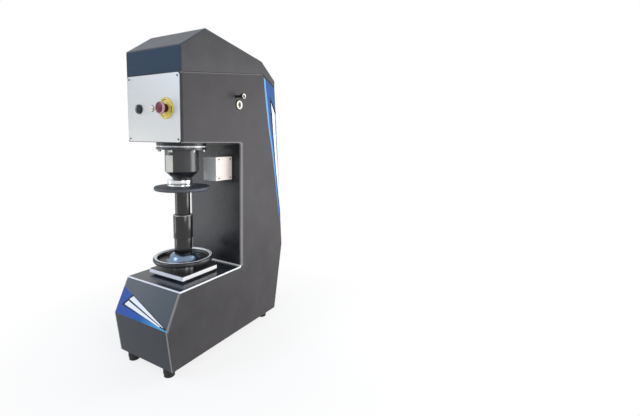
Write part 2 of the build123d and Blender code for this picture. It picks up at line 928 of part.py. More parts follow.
def spindle():
    """Hollow spindle with a head under the load cell and a foot flange with the turret's pin."""
    section = [
        (0, foot_bottom),
        (foot_flange_radius, foot_bottom),
        (foot_flange_radius, foot_bottom + foot_flange_height),
        (spindle_radius, foot_bottom + foot_flange_height),
        (spindle_radius, spindle_head_bottom),
        (spindle_head_radius, spindle_head_bottom),
        (spindle_head_radius, load_cell_bottom),
        (0, load_cell_bottom),
    ]
    body = turned(section, 0, axis_y)
    pin_bottom = turret_bottom - free_clearance
    body += upright(0, pivot_y, pin_bottom, foot_bottom, turret_pin_radius)
    return body + upright(
        0, pivot_y, pin_bottom - turret_pin_head_height, pin_bottom, turret_pin_head
    )


def turret_station(angle):
    """Plan position of a turret station, by its angle about the pivot from the front."""
    swing = math.radians(angle)
    x = turret_arm_length * math.sin(swing)
    y = pivot_y - turret_arm_length * math.cos(swing)
    return x, y


def turret_arm():
    """Two-station arm: indenter on the loading axis, objective one swing away."""
    stations = [(0, pivot_y), turret_station(0), turret_station(turret_swing)]
    rims = [Pos(x, y) * Circle(turret_boss) for x, y in stations]
    plan = make_hull(rims[0].edges() + rims[1].edges() + rims[2].edges())
    arm = Pos(0, 0, turret_bottom) * extrude(plan, turret_thickness)
    bore = turret_pin_radius + running_clearance
    return arm - upright(0, pivot_y, turret_bottom, turret_top, bore)


def indenter():
    """Ball holder, and the ball that it grips as a round-ended pin."""
    ball_z = ball_tip + ball_radius
    grip = ball_z + ball_radius
    x, y = turret_station(0)
    section = [
        (0, grip),
        (ball_radius, grip),
        (ball_radius, ball_z),
        (ball_radius + 1.5, ball_z),
        (ball_radius + 1.5, ball_z + 4),
        (holder_radius, ball_z + 10),
        (holder_radius, turret_bottom),
        (0, turret_bottom),
    ]
    ball = Pos(x, y, ball_z) * Sphere(ball_radius)
    ball += upright(x, y, ball_z, grip, ball_radius)
    return [turned(section, x, y), ball]


def objective():
    """Short lens barrel on the turret's second station."""
    x, y = turret_station(turret_swing)
    barrel = upright(x, y, turret_bottom - objective_length, turret_bottom, objective_radius)
    lens_end = barrel.faces().sort_by(Axis.Z)[0]
    barrel = chamfer(lens_end.edges(), 2)
    return barrel - upright(
        x, y, turret_bottom - objective_length, turret_bottom - objective_length + 1.5, 4.5
    )


def load_cell():
    """Ring load cell between the spindle's head and the load nut, with its cable boss."""
    ring = upright(0, axis_y, load_cell_bottom, load_nut_bottom, spindle_head_radius)
    boss_z = (load_cell_bottom + load_nut_bottom) / 2
    ring += along_x(axis_y, boss_z, 0, spindle_head_radius + 8, 5)
    return ring - upright(0, axis_y, load_cell_bottom, load_nut_bottom, load_cell_bore)


def load_nut():
    """Flanged ball nut that the ball screw drives down."""
    top = load_nut_bottom + load_nut_height
    flange_top = load_nut_bottom + load_nut_flange_height
    nut = upright(0, axis_y, load_nut_bottom, top, load_nut_radius)
    nut += upright(0, axis_y, load_nut_bottom, flange_top, load_nut_flange)
    return nut - upright(0, axis_y, load_nut_bottom, top, ball_screw_radius + running_clearance)


def ball_screw():
    return upright(0, axis_y, ball_screw_bottom, pulley_top + 8, ball_screw_radius)


def bearing_housing():
    """Bearing housing on the beam, with both bearings seated in it."""
    flange_top = beam_top + bearing_house_flange_height
    house = upright(0, axis_y, beam_top, flange_top, bearing_house_flange)
    house += upright(0, axis_y, beam_top, bearing_house_top, bearing_house_radius)
    return house - upright(0, axis_y, beam_top, bearing_house_top, bearing_outer)


def screw_bearings():
    rings = []
    bore = ball_screw_radius + running_clearance
    seats = (beam_top + bearing_seat, bearing_house_top - bearing_seat - bearing_width)
    for z in seats:
        ring = upright(0, axis_y, z, z + bearing_width, bearing_outer)
        rings.append(ring - upright(0, axis_y, z, z + bearing_width, bore))
    return rings


def flanged_pulley(x, y, radius, bore):
    """Belt pulley with a low flange above and below the belt's track."""
    track = (pulley_width - belt_width) / 4
    disc = upright(x, y, pulley_bottom, pulley_top, radius)
    disc += upright(x, y, pulley_bottom, pulley_bottom + track, radius + pulley_flange)
    disc += upright(x, y, pulley_top - track, pulley_top, radius + pulley_flange)
    return disc - upright(x, y, pulley_bottom, pulley_top, bore)


def driven_pulley():
    return flanged_pulley(0, axis_y, driven_pulley_radius, ball_screw_radius)


def drive_pulley():
    """Small pulley with the motor's shaft, which turns in the motor."""
    pulley = flanged_pulley(0, motor_y, drive_pulley_radius, motor_shaft_radius)
    return pulley + upright(0, motor_y, motor_top - 12, pulley_top, motor_shaft_radius)


def drive_belt():
    """Timing belt as a closed band around both pulleys."""
    rims = [
        Pos(0, axis_y) * Circle(driven_pulley_radius + belt_clearance),
        Pos(0, motor_y) * Circle(drive_pulley_radius + belt_clearance),
    ]
    inside = make_hull(rims[0].edges() + rims[1].edges())
    band = offset(inside, belt_thickness) - inside
    return Pos(0, 0, pulley_bottom + (pulley_width - belt_width) / 2) * extrude(band, belt_width)


def drive_motor():
    """Square servo motor under its bracket, shaft upwards."""
    s = motor_size / 2
    body = block(-s, s, motor_y - s, motor_y + s, motor_bottom, motor_top)
    body = chamfer(body.edges().filter_by(Axis.Z), 8)
    return body - upright(
        0, motor_y, motor_top - motor_spigot, motor_top, motor_shaft_radius + running_clearance
    )


def motor_bracket():
    """Bridge over the motor: two legs on the beam and a plate that the motor hangs from."""
    w = bracket_width / 2
    y0 = motor_y - bracket_length / 2
    y1 = motor_y + bracket_length / 2
    bridge = block(-w, w, y0, y1, beam_top, motor_top + bracket_wall)
    bridge -= block(-w + bracket_wall, w - bracket_wall, y0, y1, beam_top, motor_top)
    return bridge - upright(
        0, motor_y, motor_top, motor_top + bracket_wall, motor_shaft_radius + 6
    )


# ---------------------------------------------------------------- controls
def control_plate():
    """Aluminium front plate with rounded corners and three control holes."""
    z0 = head_bottom + plate_margin
    z1 = seam_front - plate_margin
    w = plate_half_width
    plate = block(-w, w, plate_face, head_front, z0, z1)
    plate = fillet(plate.edges().filter_by(Axis.Y), plate_corner)
    for x in (selector_x, lamp_x, estop_x):
        plate -= along_y(x, control_z, plate_face, head_front, control_hole)
    return plate


def badge_panel():
    """Blank badge panel on the hood's front face."""
    w = half - badge_inset
    front = head_front - badge_thickness
    z0 = seam_front + badge_foot
    z1 = hood_front_top - badge_inset
    panel = block(-w, w, front, head_front, z0, z1)
    return fillet(panel.edges().filter_by(Axis.Y), 3)


def panel_screw(place):
    """One pan-head screw with a hexagon recess, head outwards along the place's Z."""
    head = Pos(0, 0, panel_screw_head / 2) * Cylinder(panel_screw_radius, panel_screw_head)
    recess = extrude(RegularPolygon(panel_screw_radius * 0.5, 6), panel_screw_head * 0.6)
    return place * (head - Pos(0, 0, panel_screw_head * 0.4) * recess)


def facing_front(x, y, z):
    return Location((x, y, z), (90, 0, 0))


def facing_right(x, y, z):
    return Location((x, y, z), (0, 90, 0))


def panel_screws():
    """The same screw on the control plate, the camera's end plate and its pad."""
    inset = plate_screw_inset
    x = plate_half_width - inset
    z0 = head_bottom + plate_margin + inset
    z1 = seam_front - plate_margin - inset
    places = [facing_front(sx, plate_face, z) for sx in (-x, x) for z in (z0, z1)]
    rear = column_front - camera_pad
    inset = camera_screw_inset
    depths = (column_front - camera_depth + camera_corner + inset, rear - inset)
    heights = (camera_bottom + inset, camera_top - inset)
    places += [facing_right(camera_x1, y, z) for y in depths for z in heights]
    margin = camera_pad_margin
    corners = (camera_bottom - margin, camera_top + margin)
    places += [facing_front(x, rear, z) for x in (camera_x0, camera_x1) for z in corners]
    return [panel_screw(place) for place in places]


def contact_block(x, front, radius):
    """Barrel through the panel with a contact block behind it."""
    back = head_front + sheet + contact_block_depth
    barrel = along_y(x, control_z, front, head_front + sheet, radius)
    w = contact_block_width / 2
    h = contact_block_height / 2
    return barrel + block(x - w, x + w, head_front + sheet, back, control_z - h, control_z + h)


def estop_body():
    """Fixed collar, barrel and contact block of the emergency stop."""
    front = plate_face - estop_body_length
    body = contact_block(estop_x, plate_face, control_hole)
    body += along_y(estop_x, control_z, front, plate_face, estop_body_radius)
    bore = estop_bore + running_clearance
    return body - along_y(estop_x, control_z, front, head_front + contact_block_depth / 2, bore)


def estop_legend():
    """Round legend plate under the emergency stop's collar."""
    front = plate_face - estop_legend_thickness
    ring = along_y(estop_x, control_z, front, plate_face, estop_legend_radius)
    return ring - along_y(estop_x, control_z, front, plate_face, estop_body_radius)


def estop_plunger():
    """Plunger between the contact block and the mushroom."""
    head_back = plate_face - estop_body_length - estop_neck
    back = head_front + contact_block_depth / 2 - estop_travel - 1
    return along_y(estop_x, control_z, head_back - estop_socket, back, estop_bore)


def estop_head():
    """Mushroom with a domed face, socketed on the plunger."""
    back = plate_face - estop_body_length - estop_neck
    r = estop_head_radius
    tall = estop_head_length
    socket = estop_bore + running_clearance
    depth = estop_socket + free_clearance
    section = [
        (0, depth),
        (socket, depth),
        (socket, 0),
        (r * 0.82, 0),
        (r, tall * 0.2),
        (r, tall * 0.62),
        (r * 0.93, tall * 0.82),
        (r * 0.74, tall * 0.95),
        (r * 0.45, tall),
        (0, tall),
    ]
    mushroom = turned(section, 0, 0)
    return Pos(estop_x, back, control_z) * Rot(90, 0, 0) * mushroom


def selector_body():
    """Round bezel, barrel and contact block of the selector switch."""
    body = contact_block(selector_x, plate_face, control_hole)
    front = plate_face - selector_bezel
    bezel = along_y(selector_x, control_z, front, plate_face, selector_radius)
    bezel = chamfer(bezel.faces().sort_by(Axis.Y)[0].edges(), 1.2)
    socket = selector_knob_radius + free_clearance
    recess = along_y(selector_x, control_z, front, plate_face - 1, socket)
    bore = along_y(selector_x, control_z, plate_face - 1, head_front, 5 + running_clearance)
    return body + bezel - recess - bore


def selector_knob():
    """Selector with a raised finger bar, on a stub shaft."""
    back = plate_face - 1 - free_clearance
    front = plate_face - selector_bezel - 2
    knob = along_y(selector_x, control_z, front, back, selector_knob_radius)
    knob += along_y(selector_x, control_z, back, head_front - 1, 5)
    bar_front = plate_face - selector_bezel - selector_knob_length + 4
    bar = Pos(selector_x, (bar_front + front) / 2, control_z) * Box(
        selector_lever_width, front - bar_front, selector_knob_radius * 1.9
    )
    bar = fillet(bar.edges().filter_by(Axis.Y), selector_lever_width * 0.45)
    return knob + bar


def pilot_lamp():
    """Pilot lamp: bezel, domed lens and a body behind the panel."""
    back = head_front + sheet + lamp_body_length
    lamp = along_y(lamp_x, control_z, plate_face, back, lamp_radius - 2)
    front = plate_face - lamp_bezel
    bezel = along_y(lamp_x, control_z, front, plate_face, lamp_radius)
    lamp += chamfer(bezel.faces().sort_by(Axis.Y)[0].edges(), 0.8)
    lens = along_y(lamp_x, control_z, front - lamp_dome, front, lamp_radius - 2.5)
    return lamp + chamfer(lens.faces().sort_by(Axis.Y)[0].edges(), lamp_dome * 0.6)


# ---------------------------------------------------------------- knob, lock and camera housing
def knob_dimmer():
    """Panel bush and rotary dimmer that carry the side knob's shaft."""
    inside = half - sheet
    body = along_x(knob_y, knob_z, inside - dimmer_length, inside, dimmer_radius)
    body += along_x(knob_y, knob_z, inside, half + knob_bush_height, knob_bush_radius - knob_bush_lip)
    body += along_x(knob_y, knob_z, half, half + knob_bush_height, knob_bush_radius)
    bore = knob_shaft_radius + running_clearance
    return body - along_x(knob_y, knob_z, inside - 12, half + knob_bush_height, bore)


def side_knob():
    """Slim knob on a long neck, with a ringed end cap."""
    end = half + knob_reach
    neck_start = half + knob_bush_height + free_clearance
    shaft_start = half - sheet - 11
    knob = along_x(knob_y, knob_z, shaft_start, neck_start, knob_shaft_radius)
    knob += along_x(knob_y, knob_z, neck_start, end - knob_head_length, knob_neck_radius)
    head = along_x(knob_y, knob_z, end - knob_head_length, end, knob_head_radius)
    head = chamfer(head.edges().filter_by(GeomType.CIRCLE), 1.2)
    head -= along_x(knob_y, knob_z, end - 1.5, end, knob_head_radius * 0.55)
    return knob + head


def keyswitch_body():
    """Key switch: bezel outside the panel, barrel through it and contact block behind."""
    start = half - lock_barrel_length
    body = along_x(lock_y, lock_z, start, half, lock_barrel_radius)
    bezel = along_x(lock_y, lock_z, half, half + lock_bezel_height, lock_bezel_radius)
    bezel = chamfer(bezel.faces().sort_by(Axis.X)[-1].edges(), lock_bezel_height * 0.5)
    bore = lock_plug_radius + running_clearance
    body += bezel - along_x(lock_y, lock_z, start, half + lock_bezel_height, bore)
    body -= along_x(lock_y, lock_z, start, half + lock_bezel_height, bore)
    s = lock_contact_size / 2
    rear = start - lock_contact_depth
    return body + block(rear, start, lock_y - s, lock_y + s, lock_z - s, lock_z + s)


def keyswitch_plug():
    """Key plug with its keyway."""
    front = half + lock_bezel_height
    start = half - lock_barrel_length + free_clearance
    plug = along_x(lock_y, lock_z, start, front, lock_plug_radius)
    return plug - Pos(front, lock_y, lock_z) * Box(2 * keyway_depth, keyway_width, keyway_height)


def camera_housing():
    """Aluminium box on the column's pad, open at its right end."""
    rear = column_front - camera_pad
    front = column_front - camera_depth
    end = camera_x1 - camera_end
    box = block(camera_x0, end, front, rear, camera_bottom, camera_top)
    corner = box.edges().filter_by(Axis.Z).group_by(Axis.Y)[0].sort_by(Axis.X)[0]
    box = fillet(corner, camera_corner)
    w = camera_wall
    inside = block(
        camera_x0 + w, end, front + w, rear - w, camera_bottom + w, camera_top - w
    )
    return box - inside


def camera_end_plate():
    rear = column_front - camera_pad
    front = column_front - camera_depth
    x0 = camera_x1 - camera_end
    plate = block(x0, camera_x1, front, rear, camera_bottom, camera_top)
    return fillet(plate.edges().filter_by(Axis.X), camera_corner / 4)


def drive_unit():
    """Finned drive electronics on the back of the frame's column."""
    w = drive_unit_width / 2
    top = drive_unit_bottom + drive_unit_height
    unit = block(-w, w, column_y1, column_y1 + drive_unit_depth, drive_unit_bottom, top)
    fins = 8
    pitch = drive_unit_width / fins
    for n in range(fins):
        x = -w + pitch * (n + 0.5)
        unit -= block(
            x - pitch / 4, x + pitch / 4, column_y1 + drive_unit_depth * 0.7,
            column_y1 + drive_unit_depth, drive_unit_bottom, top,
        )
    return unit


# ---------------------------------------------------------------- assembly
def machine():
    """Every sub-part by its name, in the machine frame."""
    right = side_panel_right()
    return {
        "base_bottom_plate": base_bottom_plate(),
        "base_front_panel": base_front_panel(),
        "base_top_plate": base_top_plate(),
        "side_panel_right": right,
        "side_panel_left": mirror(side_panel(), about=Plane.YZ),
        "throat_panel": throat_panel(),
        "head_front_panel": head_front_panel(),
        "hood": hood(),
        "rear_cover": rear_cover(),
        "rear_cover_screws": rear_cover_screws(),
        "mains_inlet": mains_inlet(),
        "foot_pads": foot_pads(),
        "foot_studs": foot_studs(),
        "load_frame": load_frame(),
        "nut_plate": nut_plate(),
        "thrust_bearing": thrust_bearing(),
        "handwheel": handwheel(),
        "elevating_nut": elevating_nut(),
        "lower_cover_tube": lower_cover_tube(),
        "cover_sleeve": cover_sleeve(),
        "upper_cover_tube": upper_cover_tube(),
        "elevating_screw": elevating_screw(),
        "anvil": anvil(),
        "test_blocks": test_blocks(),
        "guide_bush": guide_bush(),
        "bell_ring": bell_ring(),
        "bell_housing": bell_housing(),
        "bell_label": bell_label(),
        "bell_bolts": bell_bolt_heads(),
        "spindle": spindle(),
        "turret_arm": turret_arm(),
        "indenter": indenter(),
        "objective": objective(),
        "load_cell": load_cell(),
        "load_nut": load_nut(),
        "ball_screw": ball_screw(),
        "bearing_housing": bearing_housing(),
        "screw_bearings": screw_bearings(),
        "driven_pulley": driven_pulley(),
        "drive_pulley": drive_pulley(),
        "drive_belt": drive_belt(),
        "drive_motor": drive_motor(),
        "motor_bracket": motor_bracket(),
        "control_plate": control_plate(),
        "panel_screws": panel_screws(),
        "badge_panel": badge_panel(),
        "estop_body": estop_body(),
        "estop_legend": estop_legend(),
        "estop_plunger": estop_plunger(),
        "estop_head": estop_head(),
        "selector_body": selector_body(),
        "selector_knob": selector_knob(),
        "pilot_lamp": pilot_lamp(),
        "knob_dimmer": knob_dimmer(),
        "side_knob": side_knob(),
        "keyswitch_body": keyswitch_body(),
        "keyswitch_plug": keyswitch_plug(),
        "camera_housing": camera_housing(),
        "camera_end_plate": camera_end_plate(),
        "drive_unit": drive_unit(),
    }


def solids_of(shape):
    """The separate solids of a sub-part, given as one shape or a list of shapes."""
    shapes = shape if isinstance(shape, list) else [shape]
    return [solid for item in shapes for solid in item.solids()]


def main():
    os.makedirs("parts", exist_ok=True)
    middle_x = knob_reach / 2
    middle_y = (bulge_y - nose_reach) / 2
    to_origin = Location((-middle_x, -middle_y, 0))
    for name, shape in machine().items():
        solids = [solid.moved(to_origin) for solid in solids_of(shape)]
        export_step(solids[0] if len(solids) == 1 else Compound(solids), f"parts/{name}.step")


main()
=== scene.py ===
# %% [markdown]
# # A floor-standing hardness tester
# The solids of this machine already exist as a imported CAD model. Blender adds what solids can't
# have: paint, chrome, printed film, soft light and a camera.

import math

import bmesh
import bpy
from mathutils import Matrix, Vector


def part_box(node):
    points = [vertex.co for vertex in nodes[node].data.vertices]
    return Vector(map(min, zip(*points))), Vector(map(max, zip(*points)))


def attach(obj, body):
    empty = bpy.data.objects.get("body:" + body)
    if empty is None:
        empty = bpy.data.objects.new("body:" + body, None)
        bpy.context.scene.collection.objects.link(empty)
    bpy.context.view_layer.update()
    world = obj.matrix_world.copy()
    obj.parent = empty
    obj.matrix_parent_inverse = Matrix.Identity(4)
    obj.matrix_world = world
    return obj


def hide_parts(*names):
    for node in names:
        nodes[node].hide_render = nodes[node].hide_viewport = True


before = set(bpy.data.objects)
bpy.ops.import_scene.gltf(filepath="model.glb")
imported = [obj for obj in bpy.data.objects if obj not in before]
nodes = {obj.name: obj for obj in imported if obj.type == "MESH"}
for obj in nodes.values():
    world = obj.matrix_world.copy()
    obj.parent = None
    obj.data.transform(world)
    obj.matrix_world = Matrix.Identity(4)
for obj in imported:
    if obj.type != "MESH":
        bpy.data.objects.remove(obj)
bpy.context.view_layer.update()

# %% [markdown]
# ## Units and places
# A workshop drawing of this machine is in millimetres, measured from the mid-plane of the casing,
# from the front bottom edge of the base and from the floor. Blender works in metres from the
# model's own origin. One function turns the first into the second, so the places and sections
# of the pieces below can be read as they would be on the drawing.

# %% From the drawing to Blender
MIDDLE = Vector((19.0, 320.5, 0))
MM = 0.001


def place(x, y, z):
    """A drawing position in millimetres as a point in Blender."""
    return (Vector((x, y, z)) - MIDDLE) * MM


def drawing_box(node):
    """A solid's lowest and highest corner, in drawing millimetres."""
    low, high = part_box(node)
    return low / MM + MIDDLE, high / MM + MIDDLE


SIDE = round(drawing_box("side_panel_right")[1].x, 3)
print("outside of the right panel, mm:", SIDE)

# %% [markdown]
# ## Camera
# The camera stands in front of the machine and to its right, at two thirds of its height and about
# a metre and a half away, and looks down by six degrees through a wide lens. Aiming it at a target
# would be quicker, but set angles hold the machine's edges where they belong in the picture. The
# small shift slides the picture on the frame without turning the camera.

# %% Camera
camera_data = bpy.data.cameras.new("camera")
camera = bpy.data.objects.new("camera", camera_data)
bpy.context.scene.collection.objects.link(camera)
camera.location = place(1134.42, -815.16, 840.78)
camera.rotation_euler = [math.radians(v) for v in (83.8284, -0.9513, 30.5899)]
camera_data.sensor_width = 36
camera_data.lens = 21.0794
camera_data.shift_x = 0.024624
camera_data.shift_y = -0.043773
camera_data.clip_start = 0.05
bpy.context.scene.camera = camera
bpy.context.scene.view_settings.view_transform = "Standard"
print("lens, mm:", round(camera_data.lens, 2))

# %% [markdown]
# ## Colours and nodes
# Paint makers give colours as sRGB hex values, and Blender's shaders want linear light, so one
# function converts them. A second one adds a node to a material and links it in the same line,
# which keeps each finish below short enough to read as a recipe.

# %% Colour
def tint(hexcode, shade=1.0):
    """An sRGB hex colour as linear RGBA, darkened by a shade below 1."""
    parts = [int(hexcode[i : i + 2], 16) / 255 for i in (1, 3, 5)]
    linear = [p / 12.92 if p <= 0.04045 else ((p + 0.055) / 1.055) ** 2.4 for p in parts]
    return (*(shade * p for p in linear), 1.0)


print("middle grey in linear light:", round(tint("#808080")[0], 3))


# %% Nodes
def add(tree, kind, values=None, links=None, **settings):
    """Add one node with its settings, its fixed inputs and its links."""
    node = tree.nodes.new(kind)
    for name, value in settings.items():
        setattr(node, name, value)
    for socket, value in (values or {}).items():
        node.inputs[socket].default_value = value
    for socket, source in (links or {}).items():
        tree.links.new(source, node.inputs[socket])
    return node


def start(name, **values):
    """A new material with one Principled shader: the material, its tree and the shader."""
    material = bpy.data.materials.new(name)
    material.use_nodes = True
    tree = material.node_tree
    tree.nodes.clear()
    inputs = {key.replace("_", " "): value for key, value in values.items()}
    shader = add(tree, "ShaderNodeBsdfPrincipled", inputs)
    add(tree, "ShaderNodeOutputMaterial", links={"Surface": shader.outputs[0]})
    return material, tree, shader


# %% [markdown]
# ## Patterns
# What marks a real surface, such as spray mottle, dust or turning lines, changes its colour, its
# gloss and its relief together. Three separate noises would contradict each other, so one grey
# pattern drives all three, and its scale comes from the size of the marks.

# %% Patterns
def marks(size):
    """The scale of a noise whose marks have this size in millimetres."""
    return 1 / (size * MM)


def pattern(tree, shader, grey, dark, light, span, gloss, relief=None):
    """Let a grey value run the colour, the roughness and, if given, the relief."""
    ramp = add(tree, "ShaderNodeValToRGB", links={"Fac": grey})
    first, last = ramp.color_ramp.elements
    first.position, last.position = span
    first.color, last.color = dark, light
    tree.links.new(ramp.outputs["Color"], shader.inputs["Base Color"])
    rough = add(
        tree, "ShaderNodeMapRange", {"To Min": gloss[0], "To Max": gloss[1]}, {"Value": grey}
    )
    tree.links.new(rough.outputs["Result"], shader.inputs["Roughness"])
    if relief:
        strength, depth = relief
        bump = add(
            tree, "ShaderNodeBump", {"Strength": strength, "Distance": depth * MM},
            {"Height": grey},
        )
        tree.links.new(bump.outputs["Normal"], shader.inputs["Normal"])
    return ramp.outputs["Color"]


MIX_FACTOR, MIX_FIRST, MIX_SECOND, MIXED = 0, 6, 7, 2  # a Mix node's sockets for colours


def overprint(tree, shader, under, colour, mask):
    """Lay a second colour over the first where the mask is 1."""
    mixed = add(
        tree, "ShaderNodeMix", {MIX_SECOND: tint(colour)}, {MIX_FACTOR: mask, MIX_FIRST: under},
        data_type="RGBA",
    )
    tree.links.new(mixed.outputs[MIXED], shader.inputs["Base Color"])


# %% Coating the solids
def coat(material, *names):
    """Give these solids one material."""
    for name in names:
        mesh = nodes[name].data
        mesh.materials.clear()
        mesh.materials.append(material)
    print(material.name, "on", *names)


# %% [markdown]
# ## Powder-coated sheet steel
# The casing is folded steel sheet with a baked powder coat: a dark grey, slightly warm, with a
# satin sheen. Real powder coat has an orange-peel grain of about half a millimetre. That is too
# fine to show from here, so the grain is drawn at 3 mm, and a slow mottle of 125 mm varies the
# grey and the gloss a little, as a spray booth does. A picture of paint could be wrapped around
# the panels instead, but noise on object coordinates needs no unwrapping and shows no seam.
#
# The folds around the throat, along the seam and down the base's front are painted paler, a
# painted highlight where a bend catches the light. Each fold is a line in the side view, so a
# Mapping node lays its own axes along that line, and the distance across it fades the painted
# highlight out. Faces that look up are painted a cooler grey, a painted reflection of cool light.
# The surface normal's height tells which faces those are.

# %% Fold lines
FOLDS = [  # start and end in the side view, and how far the paler tone reaches, in mm
    ((359.4, 311), (359.4, 822), 17),
    ((359.4, 822), (62, 822), 7),
    ((62, 1056.4), (503, 1114.4), 6),
    ((-20, 189), (38, 311), 6),
    ((0, 36), (-20, 189), 2),
]
SPARE = 1.0  # how far the tone runs past a fold's ends, in mm
print("fold lines:", len(FOLDS))


def fold_highlight_mask(tree, where):
    """1 on a fold line, fading to 0 across the panel."""
    total = None
    for (y0, z0), (y1, z1), reach in FOLDS:
        slope = math.atan2(z1 - z0, y1 - y0)
        turn = Matrix.Rotation(-slope, 3, "X")
        centre = turn @ place(MIDDLE.x, (y0 + y1) / 2, (z0 + z1) / 2)
        half_length = (math.hypot(y1 - y0, z1 - z0) / 2 + SPARE) * MM
        laid = add(
            tree, "ShaderNodeMapping", {"Rotation": (-slope, 0, 0), "Location": -centre},
            {"Vector": where},
        )
        size = add(tree, "ShaderNodeVectorMath", links={0: laid.outputs[0]}, operation="ABSOLUTE")
        axes = add(tree, "ShaderNodeSeparateXYZ", links={"Vector": size.outputs[0]})
        fade = add(
            tree, "ShaderNodeMapRange", {"From Min": reach * MM, "From Max": 0.0},
            {"Value": axes.outputs["Z"]}, interpolation_type="SMOOTHSTEP",
        )
        beside = add(
            tree, "ShaderNodeMath", {1: half_length}, {0: axes.outputs["Y"]},
            operation="LESS_THAN",
        )
        band = add(
            tree, "ShaderNodeMath", links={0: fade.outputs[0], 1: beside.outputs[0]},
            operation="MULTIPLY",
        )
        total = band.outputs[0] if total is None else add(
            tree, "ShaderNodeMath", links={0: total, 1: band.outputs[0]}, operation="MAXIMUM"
        ).outputs[0]
    return total


# %% Powder coat
def powder_coat(name, light, dark, gloss, fold=None, dust_and_sheen=None, shine=0.3):
    """Baked powder with a mottle and a grain; where given, a painted highlight at folds and a
    painted cool sheen on top.
    """
    material, tree, shader = start(name, Specular_IOR_Level=shine)
    where = add(tree, "ShaderNodeTexCoord").outputs["Object"]
    mottle = add(
        tree, "ShaderNodeTexNoise", {"Scale": marks(125), "Detail": 3.0, "Roughness": 0.6},
        {"Vector": where},
    ).outputs["Fac"]
    colour = pattern(
        tree, shader, mottle, tint(dark), tint(light), (0.35, 0.68), (gloss - 0.04, gloss + 0.08)
    )
    # The paler tone along the folds is a painted highlight, where a bend would catch the light.
    if fold:
        overprint(tree, shader, colour, fold, fold_highlight_mask(tree, where))
    # Faces that look up take a cooler grey: a painted reflection of cool light.
    if dust_and_sheen:
        facing = add(tree, "ShaderNodeTexCoord").outputs["Normal"]
        split = add(tree, "ShaderNodeSeparateXYZ", links={"Vector": facing})
        upward = add(
            tree, "ShaderNodeMapRange", {"From Min": 0.15, "From Max": 0.4},
            {"Value": split.outputs["Z"]},
        )
        overprint(tree, shader, colour, dust_and_sheen, upward.outputs[0])
    grain = add(
        tree, "ShaderNodeTexNoise", {"Scale": marks(3), "Detail": 2.0}, {"Vector": where}
    ).outputs["Fac"]
    peel = add(
        tree, "ShaderNodeBump", {"Strength": 0.16, "Distance": 0.5 * MM}, {"Height": grain}
    )
    tree.links.new(peel.outputs["Normal"], shader.inputs["Normal"])
    return material


# Side sheets: the dullest and warmest grey, with painted highlights along the folds.
side_coat = powder_coat(
    "powder_coat_graphite", "#4a4849", "#434142", 0.45, fold="#8d8a88", shine=0.14
)
# Roof and rear: the same grey, with a cooler grey painted on what faces up, a painted reflection
# of cool light.
roof_coat = powder_coat("powder_coat_graphite_roof", "#484849", "#3e3e40", 0.4, dust_and_sheen="#3e474f")
# Front of the base: a bluer, darker grey than the sides, painted shade and cool reflection of a
# face that looks forward, with the cool painted sheen on its slope.
front_coat = powder_coat("powder_coat_graphite_front", "#2a3036", "#23282d", 0.4, dust_and_sheen="#3e4850")
# Head wall behind the control plate: nearly black, a painted shadow in the gap beside the plate's
# edge.
gap_shadow_coat = powder_coat("powder_coat_graphite_shadow", "#202123", "#191a1c", 0.5)
# Column: wiped often and glossier, so it shows a soft reflection of the room; its grey is darker
# than the sides', a painted shade under the head.
column_coat = powder_coat(
    "powder_coat_graphite_column", "#343538", "#2b2c2f", 0.26, shine=0.25
)
coat(side_coat, "side_panel_right", "side_panel_left")
coat(roof_coat, "hood", "rear_cover", "base_bottom_plate")
coat(front_coat, "base_front_panel")
coat(gap_shadow_coat, "head_front_panel")
coat(column_coat, "throat_panel")

# %% [markdown]
# ## Black stoving enamel
# The bell, its flanges and the covers of the screw are turned steel in black stoving enamel.
# Enamel flows out smoother than powder, so it is glossier and shows the studio's light as long
# upright streaks on round parts. A little dust, in patches of 22 mm, keeps it from being a
# perfect mirror. The covers have the hardest gloss, the bell a softer and greyer one, and the
# handwheel's and the motor's are duller still.

# %% Black enamel
def enamel(name, colour, dusty, gloss, shine=0.5):
    """Smooth baked enamel with a little dust in it."""
    material, tree, shader = start(name, Specular_IOR_Level=shine)
    where = add(tree, "ShaderNodeTexCoord").outputs["Object"]
    dust_and_sheen = add(
        tree, "ShaderNodeTexNoise", {"Scale": marks(22), "Detail": 6.0}, {"Vector": where}
    ).outputs["Fac"]
    pattern(
        tree, shader, dust_and_sheen, tint(colour), tint(dusty), (0.4, 0.9), (gloss - 0.03, gloss + 0.07)
    )
    return material


bell_enamel = enamel("stoving_enamel_black", "#191a1e", "#26282d", 0.28, 0.7)
tube_enamel = enamel("stoving_enamel_tube", "#161715", "#20211f", 0.17)
motor_enamel = enamel("motor_enamel_black", "#17181a", "#2a2b2d", 0.45)
wheel_black = enamel("stoving_enamel_wheel", "#0d0e10", "#1b1c1f", 0.34)
coat(wheel_black, "guide_bush")
coat(motor_enamel, "drive_motor")

# %% [markdown]
# ## Bare and plated metals
# Reference blocks, rings and screws are bare or plated. Turning and grinding leave parallel lines
# a few tenths of a millimetre apart. Real grooves would take millions of faces, so a noise with
# marks of 17 mm is squeezed 40 times along one direction instead, and it disturbs the roughness
# and, a little, the surface. A metal's colour comes from its base colour, so the IOR keeps its
# default.

# %% Metals
EVEN = (1, 1, 1)  # no squeeze: grains instead of lines


